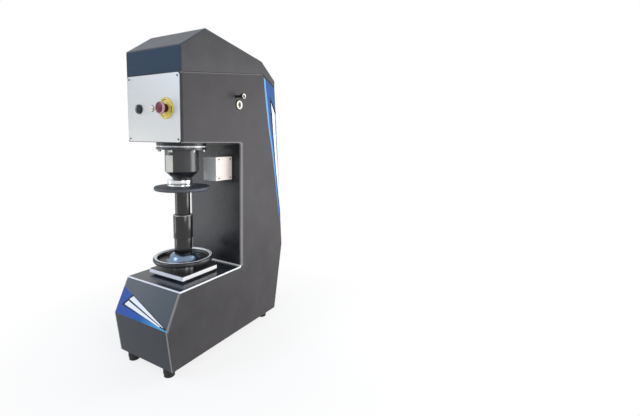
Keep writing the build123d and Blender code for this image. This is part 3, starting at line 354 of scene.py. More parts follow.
def metal(name, colour, gloss, squeeze=(1, 1, 40), size=17, relief=0.05, shade=0.86):
    """Bare or plated metal with tool lines or grains."""
    material, tree, shader = start(name, Metallic=1.0)
    where = add(tree, "ShaderNodeTexCoord").outputs["Object"]
    lines = add(tree, "ShaderNodeMapping", {"Scale": squeeze}, {"Vector": where})
    noise = add(
        tree, "ShaderNodeTexNoise", {"Scale": marks(size), "Detail": 4.0},
        {"Vector": lines.outputs[0]},
    ).outputs["Fac"]
    pattern(
        tree, shader, noise, tint(colour, shade), tint(colour), (0.3, 0.7),
        (gloss * 0.8, gloss * 1.35), (relief, 0.2),
    )
    return material


# Ground and turned steel mirror the lamps, broken up by fine rings.
ground_steel = metal("ground_steel", "#dcdfe1", 0.2)
bearing_steel = metal("bearing_steel", "#b4b7ba", 0.2)
# Small screws are blackened or zinc plated: dark or dull silver, with a speckle.
black_screw = metal("blackened_screw_steel", "#3c3d3f", 0.35, EVEN, 2, 0.1)
zinc_steel = metal("zinc_plated_steel", "#a9acae", 0.35, EVEN, 2, 0.1)
# Brushed sheet spreads a reflection into a broad pale sheen with level lines.
plate_aluminium = metal(
    "brushed_aluminium_sheet", "#b6b7b4", 0.46, (1.5, 1, 60), 25, 0.04, 0.95
)
# Anodising turns aluminium into an even, dull grey, and bronze stays warm.
dark_aluminium = metal("anodised_aluminium_grey", "#77797c", 0.4)
nut_bronze = metal("bronze", "#b58a4a", 0.3)
# Chrome mirrors the room, and a cold blue cast is painted into its colour, a painted reflection of
# a cool room; satin chrome blurs it and is warmer.
chrome = metal("chrome_plating", "#76899e", 0.24, EVEN, 33, 0.01, 0.95)
satin_chrome = metal("satin_chrome", "#e4e0d2", 0.26, EVEN, 5, 0.02)
# Chemical blackening is dark and nearly matt, and the anvil's outer side is a paler grey.
black_turned = metal("blackened_turned_steel", "#474a51", 0.6, (1, 1, 30), 17, 0.04)
anvil_side_grey = metal("blackened_steel_pale_side", "#5d6067", 0.62, (1, 1, 30), 17, 0.04)
# Pale steel on the sleeve's lip: a painted highlight.
lip_highlight = metal("steel_lip_highlight", "#9b9b98", 0.35)
coat(ground_steel, "elevating_screw", "spindle", "load_cell", "indenter")
coat(black_screw, "panel_screws", "rear_cover_screws")
coat(zinc_steel, "foot_studs", "bell_bolts")
coat(bearing_steel, "thrust_bearing", "ball_screw", "load_nut", "screw_bearings")
coat(plate_aluminium, "control_plate")
coat(dark_aluminium, "drive_unit", "turret_arm", "objective")
coat(nut_bronze, "elevating_nut")

# %% [markdown]
# ## Blackened plates with bright edges
# The nut plate and the base's top are black on their faces. The nut plate's edges are ground
# bright, and the bright line around the base's top is a painted highlight on its rounded edge. The
# faces could be given two materials, but the base's top has no edge where its bright line begins.
# So one material holds both finishes: the coordinates are centred on the plate, and what lies
# further out than a thin border is bright. That is only the edge itself on the nut plate, and a
# painted highlight line of three millimetres around the base's top. Smears of 40 mm dull the
# black.

# %% Black faces, bright edges
def edged_plate(name, node, border, dark, dusty, bright, gloss):
    """Black on the face and bright from a border outwards, in millimetres."""
    material, tree, shader = start(name)
    where = add(tree, "ShaderNodeTexCoord").outputs["Object"]
    low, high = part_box(node)
    centred = add(
        tree, "ShaderNodeMapping", {"Location": -(low + high) / 2}, {"Vector": where}
    ).outputs[0]
    reach = add(tree, "ShaderNodeVectorMath", links={0: centred}, operation="ABSOLUTE")
    split = add(tree, "ShaderNodeSeparateXYZ", links={"Vector": reach.outputs[0]})
    past = [
        add(
            tree, "ShaderNodeMath", {1: (high[i] - low[i]) / 2 - border * MM},
            {0: split.outputs[i]}, operation="GREATER_THAN",
        ).outputs[0]
        for i in (0, 1)
    ]
    mask = add(
        tree, "ShaderNodeMath", links={0: past[0], 1: past[1]}, operation="MAXIMUM"
    ).outputs[0]
    smear = add(
        tree, "ShaderNodeTexNoise", {"Scale": marks(40), "Detail": 5.0}, {"Vector": where}
    ).outputs["Fac"]
    face = pattern(
        tree, shader, smear, tint(dark), tint(dusty), (0.35, 0.68), (gloss - 0.04, gloss + 0.12)
    )
    overprint(tree, shader, face, bright, mask)
    return material


# The base top's bright border is a painted highlight; the nut plate's is its ground edge.
table_black = edged_plate(
    "polished_black_enamel", "base_top_plate", 3.0, "#1a1f26", "#2c333c", "#f4f6fa", 0.18
)
plate_steel = edged_plate(
    "blackened_steel_plate", "nut_plate", 0.3, "#1d1b1c", "#2e2b2c", "#f6f6f8", 0.3
)
coat(table_black, "base_top_plate")
coat(plate_steel, "nut_plate")

# %% [markdown]
# ## Plastics, rubber and film
# Switches are moulded plastic with a soft gloss, the feet are matt rubber, and labels are film.
# None of them has much grain, so a light speckle in colour and gloss is enough to keep them from
# looking too perfect. A real one is a tenth of a millimetre or less, and here it is a millimetre
# or more, so that it shows. The same recipe serves a few paints and blasted or lacquered metal,
# whose surface shows no lines either.

# %% Moulded finishes
def moulded(name, colour, gloss, size=1.1, relief=0.05, **values):
    """An even surface with a fine speckle."""
    material, tree, shader = start(name, **values)
    where = add(tree, "ShaderNodeTexCoord").outputs["Object"]
    noise = add(
        tree, "ShaderNodeTexNoise", {"Scale": marks(size), "Detail": 2.0}, {"Vector": where}
    ).outputs["Fac"]
    pattern(
        tree, shader, noise, tint(colour, 0.88), tint(colour), (0.3, 0.7),
        (gloss - 0.05, gloss + 0.08), (relief, 0.3),
    )
    return material


# Polyamide is slightly dull; polycarbonate has a deeper, clearer colour.
black_plastic = moulded("polyamide_black", "#191b1c", 0.35)
# Grey rather than black on the selector's lever: its highlights are painted into its colour.
selector_highlight_grey = moulded("polyamide_highlight_grey", "#4a5152", 0.3)
neck_plastic = moulded("polyamide_maroon", "#3d0f16", 0.35)
grey_plastic = moulded("polycarbonate_grey", "#a9acad", 0.35)
red_plastic = moulded("polycarbonate_crimson", "#690b1c", 0.36, Specular_IOR_Level=0.35)
# Pale pink on the mushroom's brim: a painted highlight.
brim_highlight = moulded("polycarbonate_crimson_highlight", "#d3a4ac", 0.36)
# An acrylic lens has a clear skin that gives one sharp highlight.
lens_plastic = moulded("acrylic_cream", "#f4eecb", 0.12, Coat_Weight=0.5)
# Rubber is matt, and its grain swallows highlights.
foot_rubber = moulded("nitrile_rubber", "#18181a", 0.7, 2, 0.3)
belt_rubber = moulded("neoprene", "#1b1b1b", 0.75, 2.5, 0.3)
# Printed film is smooth and satin, without a bright reflection.
badge_film = moulded("satin_film_slate", "#21374a", 0.5, 6.25, 0.03, Specular_IOR_Level=0.2)
label_film = moulded("polyester_label_white", "#dad6c4", 0.5, 3.3, 0.03)
# Cream powder coat has a soft grain, and primer is a dull, rough grey.
cream_coat = moulded("powder_coat_cream", "#ecdfd6", 0.42, 3, 0.12)
primer = moulded("zinc_primer_grey", "#6f7276", 0.6, 8.3, 0.2)
# Blasted aluminium is pale and even, because tiny pits scatter its reflection.
box_aluminium = moulded("blasted_aluminium", "#f2f4f0", 0.42, 2, 0.08, Metallic=0.2)
# Near-white and slightly metallic satin stays nearly white from every side, with a soft sheen: on
# the bell's ring it is bright steel, and on the wheel's crown and at the column's foot it is a
# painted highlight.
satin_and_highlight = moulded("satin_steel_and_highlight", "#f8fafc", 0.3, Metallic=0.15)
coat(black_plastic, "mains_inlet", "selector_body", "knob_dimmer", "keyswitch_plug")
coat(selector_highlight_grey, "selector_knob")
coat(box_aluminium, "camera_housing", "driven_pulley", "drive_pulley")
coat(neck_plastic, "estop_body", "estop_plunger")
coat(foot_rubber, "foot_pads")
coat(belt_rubber, "drive_belt")
coat(badge_film, "badge_panel")
coat(label_film, "bell_label")
coat(cream_coat, "camera_end_plate")
coat(primer, "load_frame", "bearing_housing", "motor_bracket")

# %% [markdown]
# ## Turning round pieces
# Most round pieces on this machine were turned on a lathe. Blender's spin does the same: it
# carries a section around an axis. The sections below are lists of radius and height in
# millimetres, as a turner would read them, and a small bevel breaks every sharp edge so that it
# catches the light. A zone function says which finish a face gets, from its radius and height.

# %% From a mesh to an object
AXIS = (0, 184, 0)
STEPS = 96
SMOOTH_BELOW = 0.65  # a flatter corner than this, in radians, is shaded as one curve
BEVEL_ABOVE = 0.5  # a sharper corner than this gets a bevel
TURNS = {
    "Z": Matrix.Identity(4),
    "Y": Matrix.Rotation(math.radians(90), 4, "X"),
    "X": Matrix.Rotation(math.radians(90), 4, "Y"),
}


def link(name, bm, materials):
    """Make the mesh an object at the origin, smooth except over sharp corners."""
    bmesh.ops.recalc_face_normals(bm, faces=bm.faces)
    for face in bm.faces:
        face.smooth = True
    for line in bm.edges:
        line.smooth = not (line.is_manifold and line.calc_face_angle() > SMOOTH_BELOW)
    mesh = bpy.data.meshes.new(name)
    bm.to_mesh(mesh)
    bm.free()
    for material in materials:
        mesh.materials.append(material)
    piece = bpy.data.objects.new(name, mesh)
    bpy.context.scene.collection.objects.link(piece)
    print(name, "faces", len(mesh.polygons))
    return piece


# %% Lathe
def lathe(name, section, at, materials, zone=None, axis="Z", edge=0.5, closed=False):
    """Spin a section into a mesh; open sections start and end on the axis."""
    bm = bmesh.new()
    verts = [bm.verts.new((r * MM, 0, h * MM)) for r, h in section]
    edges = [bm.edges.new(pair) for pair in zip(verts, verts[1:])]
    if closed:
        edges.append(bm.edges.new((verts[-1], verts[0])))
    bmesh.ops.spin(
        bm, geom=verts + edges, cent=(0, 0, 0), axis=(0, 0, 1), dvec=(0, 0, 0),
        angle=math.tau, steps=STEPS, use_merge=True, use_duplicate=False,
    )
    bmesh.ops.remove_doubles(bm, verts=bm.verts, dist=1e-6)
    bmesh.ops.recalc_face_normals(bm, faces=bm.faces)
    if edge:
        sharp = [e for e in bm.edges if e.is_manifold and e.calc_face_angle() > BEVEL_ABOVE]
        bmesh.ops.bevel(
            bm, geom=sharp, offset=edge * MM, segments=2, profile=0.5, affect="EDGES",
            material=-1, clamp_overlap=True,
        )
    if zone:
        for face in bm.faces:
            middle = face.calc_center_median() / MM
            face.material_index = zone(math.hypot(middle.x, middle.y), middle.z)
    matrix = Matrix.Translation(place(*at)) @ TURNS[axis]
    bmesh.ops.transform(bm, matrix=matrix, verts=bm.verts)
    return link(name, bm, materials)


# %% Replacing a solid
def stands_for(piece, body, node):
    """Move the piece with a body and hide the solid that it replaces."""
    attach(piece, body)
    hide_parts(node)


# %% [markdown]
# ## Handwheel
# The wheel is one casting like a shallow pan: a rounded rim, a flat web with four holes, and a
# raised hub that the screw's cover comes out of. The web, the underside and the rim's outside are
# black. A near-white ring on the rim's crown is a painted highlight, and the hub is chromed. One
# spun section gives the whole casting, and a Boolean drills the holes, as on the real one.

# %% Handwheel section
RIM_WIDTH, PAN_DEPTH, WEB_THICKNESS, SKIRT = 17, 15, 5, 14
HUB_RADIUS, DOME_FOOT = 46, 64
NUT_RADIUS, NUT_DEPTH, COVER_RADIUS = 36, 20, 33.4
wheel_low, wheel_high = drawing_box("handwheel")
rim_outer = (wheel_high.x - wheel_low.x) / 2
rim_inner = rim_outer - RIM_WIDTH
hub_low, hub_top = wheel_low.z, wheel_high.z
web_low = hub_low + SKIRT
web_top = web_low + WEB_THICKNESS
rim_top = web_top + PAN_DEPTH
crown_low, crown_inner, crown_outer = rim_top - 5, rim_inner + 1.2, rim_outer - 5.5
print("wheel radius", round(rim_outer, 2), "hub top", round(hub_top, 2))


def half_round(inner, outer, low, high, start_angle, sweep, count):
    """Points around an oval rim section, by angle from the outer side."""
    middle_r, half_r = (outer + inner) / 2, (outer - inner) / 2
    middle_h, half_h = (low + high) / 2, (high - low) / 2
    angles = [math.radians(start_angle + sweep * n / count) for n in range(count + 1)]
    return [(middle_r + half_r * math.cos(a), middle_h + half_h * math.sin(a)) for a in angles]


dome = [
    (DOME_FOOT, web_top), (60, web_top + 1.6), (55, web_top + 6.2), (50.5, web_top + 13.2),
    (46.5, web_top + 18.8), (42.5, web_top + 22.4), (38, hub_top - 0.3), (35, hub_top),
]
wheel_section = [
    (NUT_RADIUS, hub_low), (HUB_RADIUS, hub_low), (HUB_RADIUS, web_low), (rim_inner, web_low),
    *half_round(rim_inner, rim_outer, web_low, rim_top, -90, 250, 22),
    (rim_inner + 0.4, web_top + 4), (rim_inner - 2.5, web_top), *dome,
    (COVER_RADIUS, hub_top), (COVER_RADIUS, hub_low + NUT_DEPTH),
    (NUT_RADIUS, hub_low + NUT_DEPTH),
]

# %% Handwheel
WHEEL_FINISHES = [chrome, wheel_black, satin_and_highlight]


def wheel_finish(radius, height):
    """Chrome on the dome, a painted highlight ring on the rim's crown, and black on the rest."""
    if height > crown_low and crown_inner < radius < crown_outer:
        return 2
    return 0 if radius < DOME_FOOT + 2 and height > web_top - 0.5 else 1


wheel = lathe(
    "handwheel_dressed", wheel_section, AXIS, WHEEL_FINISHES, wheel_finish, edge=0, closed=True
)

# %% Holes in the web
HOLES, HOLE_RADIUS, DRILL_LENGTH = 4, 6.5, 30
hole_circle = (rim_inner + HUB_RADIUS) / 2
drill = bmesh.new()
for n in range(HOLES):
    angle = math.tau * n / HOLES
    hole = bmesh.ops.create_cone(
        drill, cap_ends=True, segments=24, radius1=HOLE_RADIUS * MM, radius2=HOLE_RADIUS * MM,
        depth=DRILL_LENGTH * MM,
    )
    centre = place(
        hole_circle * math.cos(angle), AXIS[1] + hole_circle * math.sin(angle),
        web_low + WEB_THICKNESS / 2,
    )
    bmesh.ops.translate(drill, verts=hole["verts"], vec=centre)
cutter = link("wheel_drill", drill, [chrome])
holes = wheel.modifiers.new("holes", "BOOLEAN")
holes.operation = "DIFFERENCE"
holes.solver = "EXACT"
holes.object = cutter
bpy.context.view_layer.update()
drilled = bpy.data.meshes.new_from_object(
    wheel.evaluated_get(bpy.context.evaluated_depsgraph_get())
)
wheel.modifiers.clear()
wheel.data = drilled
bpy.data.objects.remove(cutter)
stands_for(wheel, "handwheel", "handwheel")
for index, finish in enumerate(WHEEL_FINISHES):
    print(finish.name, sum(p.material_index == index for p in wheel.data.polygons), "faces")

# %% [markdown]
# ## Covers of the elevating screw
# Three thin tubes slide into each other as the screw goes up and down. The upper and the lower one
# have a shallow groove under the top, and the sleeve between them has a chamfered lip, painted
# pale steel as a painted highlight. Such small steps catch the light and show where one tube
# enters the next. Plain cylinders would have the size but not the steps, so the tubes come from
# the lathe too.

# %% Telescoping covers
def tube(name, node, body, wall):
    """A tube on the screw's axis with a shallow groove under its top."""
    low, high = drawing_box(node)
    r = (high.x - low.x) / 2
    section = [
        (r - wall, low.z), (r, low.z), (r, high.z - 6), (r - 0.5, high.z - 5.4),
        (r - 0.5, high.z - 4.2), (r, high.z - 3.6), (r, high.z), (r - wall, high.z),
    ]
    piece = lathe(name, section, AXIS, [tube_enamel], edge=0.3, closed=True)
    stands_for(piece, body, node)


tube("cover_tube_lower", "lower_cover_tube", "handwheel", 3.0)
tube("cover_tube_upper", "upper_cover_tube", "elevating_screw", 2.3)
sleeve_low, sleeve_high = drawing_box("cover_sleeve")
bottom, top = sleeve_low.z, sleeve_high.z
# The sleeve's lip, down to 3.2 mm below its top, is painted pale steel as a painted highlight.
sleeve = lathe(
    "cover_tube_sleeve",
    [(33.8, bottom), (36.3, bottom), (36.3, top - 2), (35.3, top), (28.9, top),
     (28.9, top - 8), (33.8, top - 8)],
    AXIS, [tube_enamel, lip_highlight],
    lambda radius, height: 1 if height > top - 3.2 and radius > 30 else 0,
    edge=0.35, closed=True,
)
stands_for(sleeve, "cover_sleeve", "cover_sleeve")

# %% [markdown]
# ## Anvil and reference block
# The anvil is a blackened round table with a shallow groove inside its edge, and its outer side is
# a paler grey than its top. On it stands a round reference block on its spacer. Both were ground,
# and a groove shows where they meet. One section each gives the groove and the broken edges at
# once.

# %% Anvil and block
anvil_low, anvil_high = drawing_box("anvil")
bottom, top = anvil_low.z, anvil_high.z
outer = (anvil_high.x - anvil_low.x) / 2
anvil = lathe(
    "anvil_table",
    [(0, bottom), (outer - 2.5, bottom), (outer, bottom + 2.5), (outer, top - 2.4),
     (outer - 1.6, top), (outer - 7, top), (outer - 7.6, top - 0.5), (outer - 9.4, top - 0.5),
     (outer - 10, top), (0, top)],
    AXIS, [black_turned, anvil_side_grey],
    lambda radius, height: 1 if radius > outer - 1.2 and height > bottom + 2 else 0, edge=0.4,
)
stands_for(anvil, "elevating_screw", "anvil")

block_low, block_high = drawing_box("test_blocks")
bottom, top = block_low.z, block_high.z
outer = (block_high.x - block_low.x) / 2
SPACER_HEIGHT = 8
seam = bottom + SPACER_HEIGHT
block = lathe(
    "reference_block",
    [(0, bottom), (outer - 1.2, bottom), (outer, bottom + 1.2), (outer, seam - 1.6),
     (outer - 2, seam), (outer, seam + 1.6), (outer, top - 1.6), (outer - 1.6, top), (0, top)],
    ((block_low.x + block_high.x) / 2, (block_low.y + block_high.y) / 2, 0),
    [ground_steel], edge=0.3,
)
stands_for(block, "elevating_screw", "test_blocks")

# %% [markdown]
# ## Bell
# The bell hangs from the head and hides the indenter. It is one turned piece, hollow and open
# below: a flange, a cylinder, a cone and a short nose. Cylinders and cones could be joined to the
# same outline, but they would leave faces inside, and one section leaves none. The bright band
# above the flange is a separate polished ring.

# %% Bell
bell_low, bell_high = drawing_box("bell_housing")
flange = (bell_high.x - bell_low.x) / 2
top = bell_high.z
bell = lathe(
    "bell_dressed",
    [(56, top), (flange, top), (flange, top - 9), (64, top - 9), (62, top - 11),
     (62, top - 90.5), (60.6, top - 93), (36.2, top - 117), (35.5, top - 118.2),
     (35.5, bell_low.z), (29.5, bell_low.z), (29.5, bell_low.z + 4.2), (56, top - 92)],
    AXIS, [bell_enamel], edge=0.6, closed=True,
)
stands_for(bell, "machine", "bell_housing")

ring_low, ring_high = drawing_box("bell_ring")
ring_radius = (ring_high.x - ring_low.x) / 2
ring = lathe(
    "bell_bright_ring",
    [(56, ring_low.z), (ring_radius, ring_low.z), (ring_radius, ring_high.z), (56, ring_high.z)],
    AXIS, [satin_and_highlight], edge=0.9, closed=True,
)
stands_for(ring, "machine", "bell_ring")

# %% [markdown]
# ## Emergency stop
# The crimson mushroom is a moulded cap with a domed face and a rounded brim, and its brim is
# painted pale pink, a painted highlight. It sits on a dark neck over a yellow legend ring. Such
# rings are printed; this one carries three plain dark arcs and a fine outline. The arcs could be
# thin pieces of their own, but print has no thickness. So the material draws them: the angle
# around the switch, from an arctangent of the centred coordinates, tells where an arc begins and
# ends.

# %% Mushroom head
stop_low, stop_high = drawing_box("estop_head")
stop_x = (stop_low.x + stop_high.x) / 2
stop_z = (stop_low.z + stop_high.z) / 2
# Faces past a radius of 17.2 mm on the brim take the pale pink of a painted highlight.
mushroom = lathe(
    "estop_mushroom",
    [(0, 6.3), (8.1, 6.3), (8.1, 0.2), (16.5, 0.1), (19.6, 1.2), (21.2, 3.6), (21.5, 6.2),
     (21.3, 8.8), (20.2, 11.2), (18.0, 12.9), (14.8, 14.0), (10.4, 14.6), (9.6, 14.1),
     (8.8, 14.5), (5.0, 14.8), (0, 14.9)],
    (stop_x, stop_high.y, stop_z), [red_plastic, brim_highlight],
    lambda radius, height: 1 if radius > 17.2 and height > 5 else 0, axis="Y", edge=0.25,
)
stands_for(mushroom, "estop_head", "estop_head")

# %% Round marks
def from_centre(tree, where, centre, flat):
    """Coordinates from a point, flattened along the axis that a round piece turns about."""
    moved = add(tree, "ShaderNodeMapping", {"Location": -centre}, {"Vector": where})
    return add(
        tree, "ShaderNodeVectorMath", {1: flat}, {0: moved.outputs[0]}, operation="MULTIPLY"
    ).outputs[0]


def ring_mask(tree, flat, radius_mm, half_mm):
    """1 within a ring around the centre of flattened coordinates."""
    radius = add(tree, "ShaderNodeVectorMath", links={0: flat}, operation="LENGTH")
    return add(
        tree, "ShaderNodeMath", {1: radius_mm * MM, 2: half_mm * MM},
        {0: radius.outputs["Value"]}, operation="COMPARE",
    ).outputs[0]


# %% Legend ring
# Laminated print: a strong, even yellow under a clear skin, so it keeps a soft highlight.
material, tree, shader = start("laminate_yellow")
where = add(tree, "ShaderNodeTexCoord").outputs["Object"]
flat = from_centre(tree, where, place(stop_x, 0, stop_z), (1, 0, 1))
split = add(tree, "ShaderNodeSeparateXYZ", links={"Vector": flat})
angle = add(
    tree, "ShaderNodeMath", links={0: split.outputs["Z"], 1: split.outputs["X"]},
    operation="ARCTAN2",
)
thirds = add(
    tree, "ShaderNodeMath", {1: 3.0, 2: 0.5}, {0: angle.outputs[0]}, operation="MULTIPLY_ADD"
)
wave = add(tree, "ShaderNodeMath", links={0: thirds.outputs[0]}, operation="COSINE")
on_arc = add(tree, "ShaderNodeMath", {1: 0.35}, {0: wave.outputs[0]}, operation="GREATER_THAN")
arc = add(
    tree, "ShaderNodeMath",
    links={0: ring_mask(tree, flat, 29.5, 1.7), 1: on_arc.outputs[0]}, operation="MULTIPLY",
)
ink = add(
    tree, "ShaderNodeMath", links={0: arc.outputs[0], 1: ring_mask(tree, flat, 35.3, 0.4)},
    operation="MAXIMUM",
)
noise = add(tree, "ShaderNodeTexNoise", {"Scale": marks(3.3)}, {"Vector": where}).outputs["Fac"]
yellow = pattern(
    tree, shader, noise, tint("#f4d84e"), tint("#ffe876"), (0.3, 0.7), (0.3, 0.42)
)
overprint(tree, shader, yellow, "#3a3418", ink.outputs[0])
coat(material, "estop_legend")

# %% [markdown]
# ## Pilot lamp, selector and side knob
# The lamp is a cream lens in a bright bezel, and the knob on the side ends in a bright ring. Both
# are round, so they are turned. A pale bar on the selector's lever is a painted highlight; it
# isn't round, so it is a cube that is scaled and beveled.

# %% Pilot lamp
lamp_low, lamp_high = drawing_box("pilot_lamp")
panel_face = drawing_box("control_plate")[0].y
lamp_x = (lamp_low.x + lamp_high.x) / 2
lens = lathe(
    "pilot_lamp_front",
    [(0, -22), (8.4, -22), (8.4, 0), (9, 0), (9, 2.6), (8.2, 3), (7.2, 3), (6.8, 2.4),
     (6.4, 2.6), (6.0, 4.6), (4.6, 6.1), (2.4, 6.8), (0, 7)],
    (lamp_x, panel_face, stop_z), [lens_plastic, satin_chrome, black_plastic],
    lambda radius, height: 2 if height < 0 else 1 if radius > 6.7 else 0, axis="Y", edge=0.2,
)
stands_for(lens, "machine", "pilot_lamp")

# %% Selector highlight bar
knob_low, knob_high = drawing_box("selector_knob")
HIGHLIGHT_BAR = Vector((6.2, 1.2, 5.2))  # width, thickness and height
# A pale grey bar on the lever's side: a painted highlight.
highlight_bar = bmesh.new()
bmesh.ops.create_cube(highlight_bar, size=1)
bmesh.ops.scale(highlight_bar, vec=HIGHLIGHT_BAR * MM, verts=highlight_bar.verts)
bmesh.ops.bevel(
    highlight_bar, geom=highlight_bar.edges[:], offset=0.4 * MM, segments=2, profile=0.5, affect="EDGES",
    material=-1,
)
selector_x = (knob_low.x + knob_high.x) / 2
centre = place(selector_x, knob_low.y - 0.3, stop_z + 6.2)
bmesh.ops.translate(highlight_bar, vec=centre, verts=highlight_bar.verts)
highlight_bar = link("selector_highlight_bar", highlight_bar, [grey_plastic])
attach(highlight_bar, "selector_knob")

# %% Side knob
knob_low, knob_high = drawing_box("side_knob")
knob_at = (0, (knob_low.y + knob_high.y) / 2, (knob_low.z + knob_high.z) / 2)
head = (knob_high.y - knob_low.y) / 2
end = knob_high.x
knob = lathe(
    "side_knob_dressed",
    [(0, knob_low.x), (3, knob_low.x), (3, SIDE + 2.4), (6, SIDE + 2.4), (5.2, SIDE + 8),
     (4.8, SIDE + 16), (5.4, end - 13), (head - 1, end - 11), (head, end - 9.6),
     (head, end - 3.4), (head - 0.7, end - 2.8), (head - 0.7, end - 2.4), (head, end - 1.8),
     (head - 0.6, end - 0.3), (head - 1.4, end), (head - 2.2, end), (7.2, end),
     (6.6, end - 1.1), (5.8, end - 1.4), (0, end - 1.5)],
    knob_at, [black_plastic, satin_chrome],
    lambda radius, height: 1 if height > end - 1.2 and 7.0 < radius < head - 2.3 else 0,
    axis="X", edge=0.25,
)
stands_for(knob, "side_knob", "side_knob")

# %% [markdown]
# ## Key switch
# The lock's bezel is satin nickel with a dark gasket around it and a black keyhole plate in its
# middle. The distance from one centre picks the finish, and squeezing the coordinates first
# makes the keyhole plate a tall oval.

# %% Key switch
plug_low, plug_high = drawing_box("keyswitch_plug")
lock_y = (plug_low.y + plug_high.y) / 2
lock_z = (plug_low.z + plug_high.z) / 2
material, tree, shader = start("satin_nickel")
where = add(tree, "ShaderNodeTexCoord").outputs["Object"]
flat = from_centre(tree, where, place(0, lock_y, lock_z), (0, 1, 1))
oval = from_centre(tree, where, place(0, lock_y, lock_z), (0, 1.5, 1))
dark = add(
    tree, "ShaderNodeMath",
    links={0: ring_mask(tree, flat, 18.2, 1.4), 1: ring_mask(tree, oval, 6.0, 6.4)},
    operation="MAXIMUM",
).outputs[0]
noise = add(tree, "ShaderNodeTexNoise", {"Scale": marks(5)}, {"Vector": where}).outputs["Fac"]
nickel = pattern(
    tree, shader, noise, tint("#dcd8c2"), tint("#ece8d2"), (0.3, 0.7), (0.25, 0.35)
)
overprint(tree, shader, nickel, "#121210", dark)
coat(material, "keyswitch_body")

# %% [markdown]
# ## Highlight strip
# A near-white strip lies in the corner between the column and the top of the base: a painted
# highlight along that corner, like the painted highlight line around the plate beside it. It has a
# quarter-round section: a square bar whose front upper edge is beveled almost away, which is
# simpler than to draw the section and extrude it.

# %% Highlight strip
foot_low, foot_high = drawing_box("base_top_plate")
strip_width, strip_depth, strip_height = foot_high.x - foot_low.x - 2, 7.0, 5.0
strip = bmesh.new()
bmesh.ops.create_cube(strip, size=1)
bmesh.ops.scale(
    strip, vec=(strip_width * MM, strip_depth * MM, strip_height * MM), verts=strip.verts
)
front_top = [e for e in strip.edges if all(v.co.y < 0 and v.co.z > 0 for v in e.verts)]
bmesh.ops.bevel(
    strip, geom=front_top, offset=4.2 * MM, segments=5, profile=0.5, affect="EDGES", material=-1
)
corner = place(
    0, foot_high.y - strip_depth / 2 + 0.4, foot_high.z + strip_height / 2 - 0.2
)
bmesh.ops.translate(strip, vec=corner, verts=strip.verts)
strip = link("column_foot_highlight_strip", strip, [satin_and_highlight])
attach(strip, "machine")

# %% [markdown]
# ## Printed film
# The blue wedges are printed vinyl film, a quarter of a millimetre thick. A film is a flat outline
# given a little thickness, so each one is drawn as a face, extruded, and laid on its panel. Vinyl
# has a smooth satin skin with hardly any reflection, which keeps its colour strong. The blue runs
# from deep to light along its length, which is a colour ramp along one coordinate.

# %% Film
FILM_THICKNESS = 0.25


def film(name, outline, origin, across, along, lift, material):
    """A thin sheet from (across, along) points in millimetres on a tilted plane."""
    out = across.cross(along)
    bm = bmesh.new()
    face = bm.faces.new([bm.verts.new((a * MM, b * MM, 0)) for a, b in outline])
    grown = bmesh.ops.extrude_face_region(bm, geom=[face])
    raised = [g for g in grown["geom"] if isinstance(g, bmesh.types.BMVert)]
    bmesh.ops.translate(bm, verts=raised, vec=(0, 0, FILM_THICKNESS * MM))
    turn = Matrix((across, along, out)).transposed().to_4x4()
    start_at = place(*(Vector(origin) + out * lift))
    bmesh.ops.transform(bm, matrix=Matrix.Translation(start_at) @ turn, verts=bm.verts)
    piece = link(name, bm, [material])
    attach(piece, "machine")


# %% Film print
def printed_film(name, colours, axis, first, last):
    """Film whose colour runs along one axis of the model, in metres."""
    material, tree, shader = start(name, Specular_IOR_Level=0.12)
    where = add(tree, "ShaderNodeTexCoord").outputs["Object"]
    split = add(tree, "ShaderNodeSeparateXYZ", links={"Vector": where})
    along = add(
        tree, "ShaderNodeMapRange", {"From Min": first, "From Max": last},
        {"Value": split.outputs[axis]},
    )
    ramp = add(tree, "ShaderNodeValToRGB", links={"Fac": along.outputs["Result"]})
    stops = ramp.color_ramp.elements
    for n, colour in enumerate(colours[1:-1], 1):
        stops.new(n / (len(colours) - 1)).color = tint(colour)
    stops[0].color, stops[-1].color = tint(colours[0]), tint(colours[-1])
    tree.links.new(ramp.outputs["Color"], shader.inputs["Base Color"])
    noise = add(tree, "ShaderNodeTexNoise", {"Scale": marks(4)}, {"Vector": where}).outputs["Fac"]
    rough = add(
        tree, "ShaderNodeMapRange", {"To Min": 0.26, "To Max": 0.4}, {"Value": noise}
    )
    tree.links.new(rough.outputs["Result"], shader.inputs["Roughness"])
    return material


# %% [markdown]
# ### Wedge on the base
# A blue band starts at the left edge of the sloping front and narrows to a point at the right
# end of the fold. Two pale streaks with dark outlines run inside its upper edge.

# %% Base wedge
RIGHT = Vector((1, 0, 0))
slope_foot, slope_top = Vector((0, -20, 189)), Vector((0, 38, 311))
uphill = (slope_top - slope_foot).normalized()
deep_blue = printed_film("vinyl_film_blue", ["#0c429a", "#1859a6", "#5aaeda"], "X", -0.15, 0.1)
pale = printed_film("vinyl_film_pale", ["#eef2f4", "#ffffff"], "X", -0.13, 0.09)
black_film = moulded("vinyl_film_black", "#08090b", 0.5, 3.3, 0.02, Specular_IOR_Level=0.15)
base_films = [
    ("base_wedge_blue", deep_blue, 0.02,
     [(-141, 2), (141, 2), (143, 6), (-119, 36), (-83, 77.5), (-141, 97)]),
    ("base_wedge_outline", black_film, 0.2, [(-120, 34.5), (139, 5), (128, 12), (-80, 79)]),
    ("base_streak_upper", pale, 0.35, [(-90, 60.5), (117, 10.8), (121, 12), (-73, 75)]),
    ("base_streak_lower", pale, 0.35, [(-106, 38.5), (101, 9), (105, 11.3), (-92, 54.5)]),
]
for name, material, lift, outline in base_films:
    film(name, outline, slope_foot, RIGHT, uphill, lift, material)

# %% [markdown]
# ### Wedge on the side
# The same idea runs down the rear edge of the right side: a long blue blade with a lighter band
# along its front and two pale streaks inside a dark outline, all thin at the lower end.

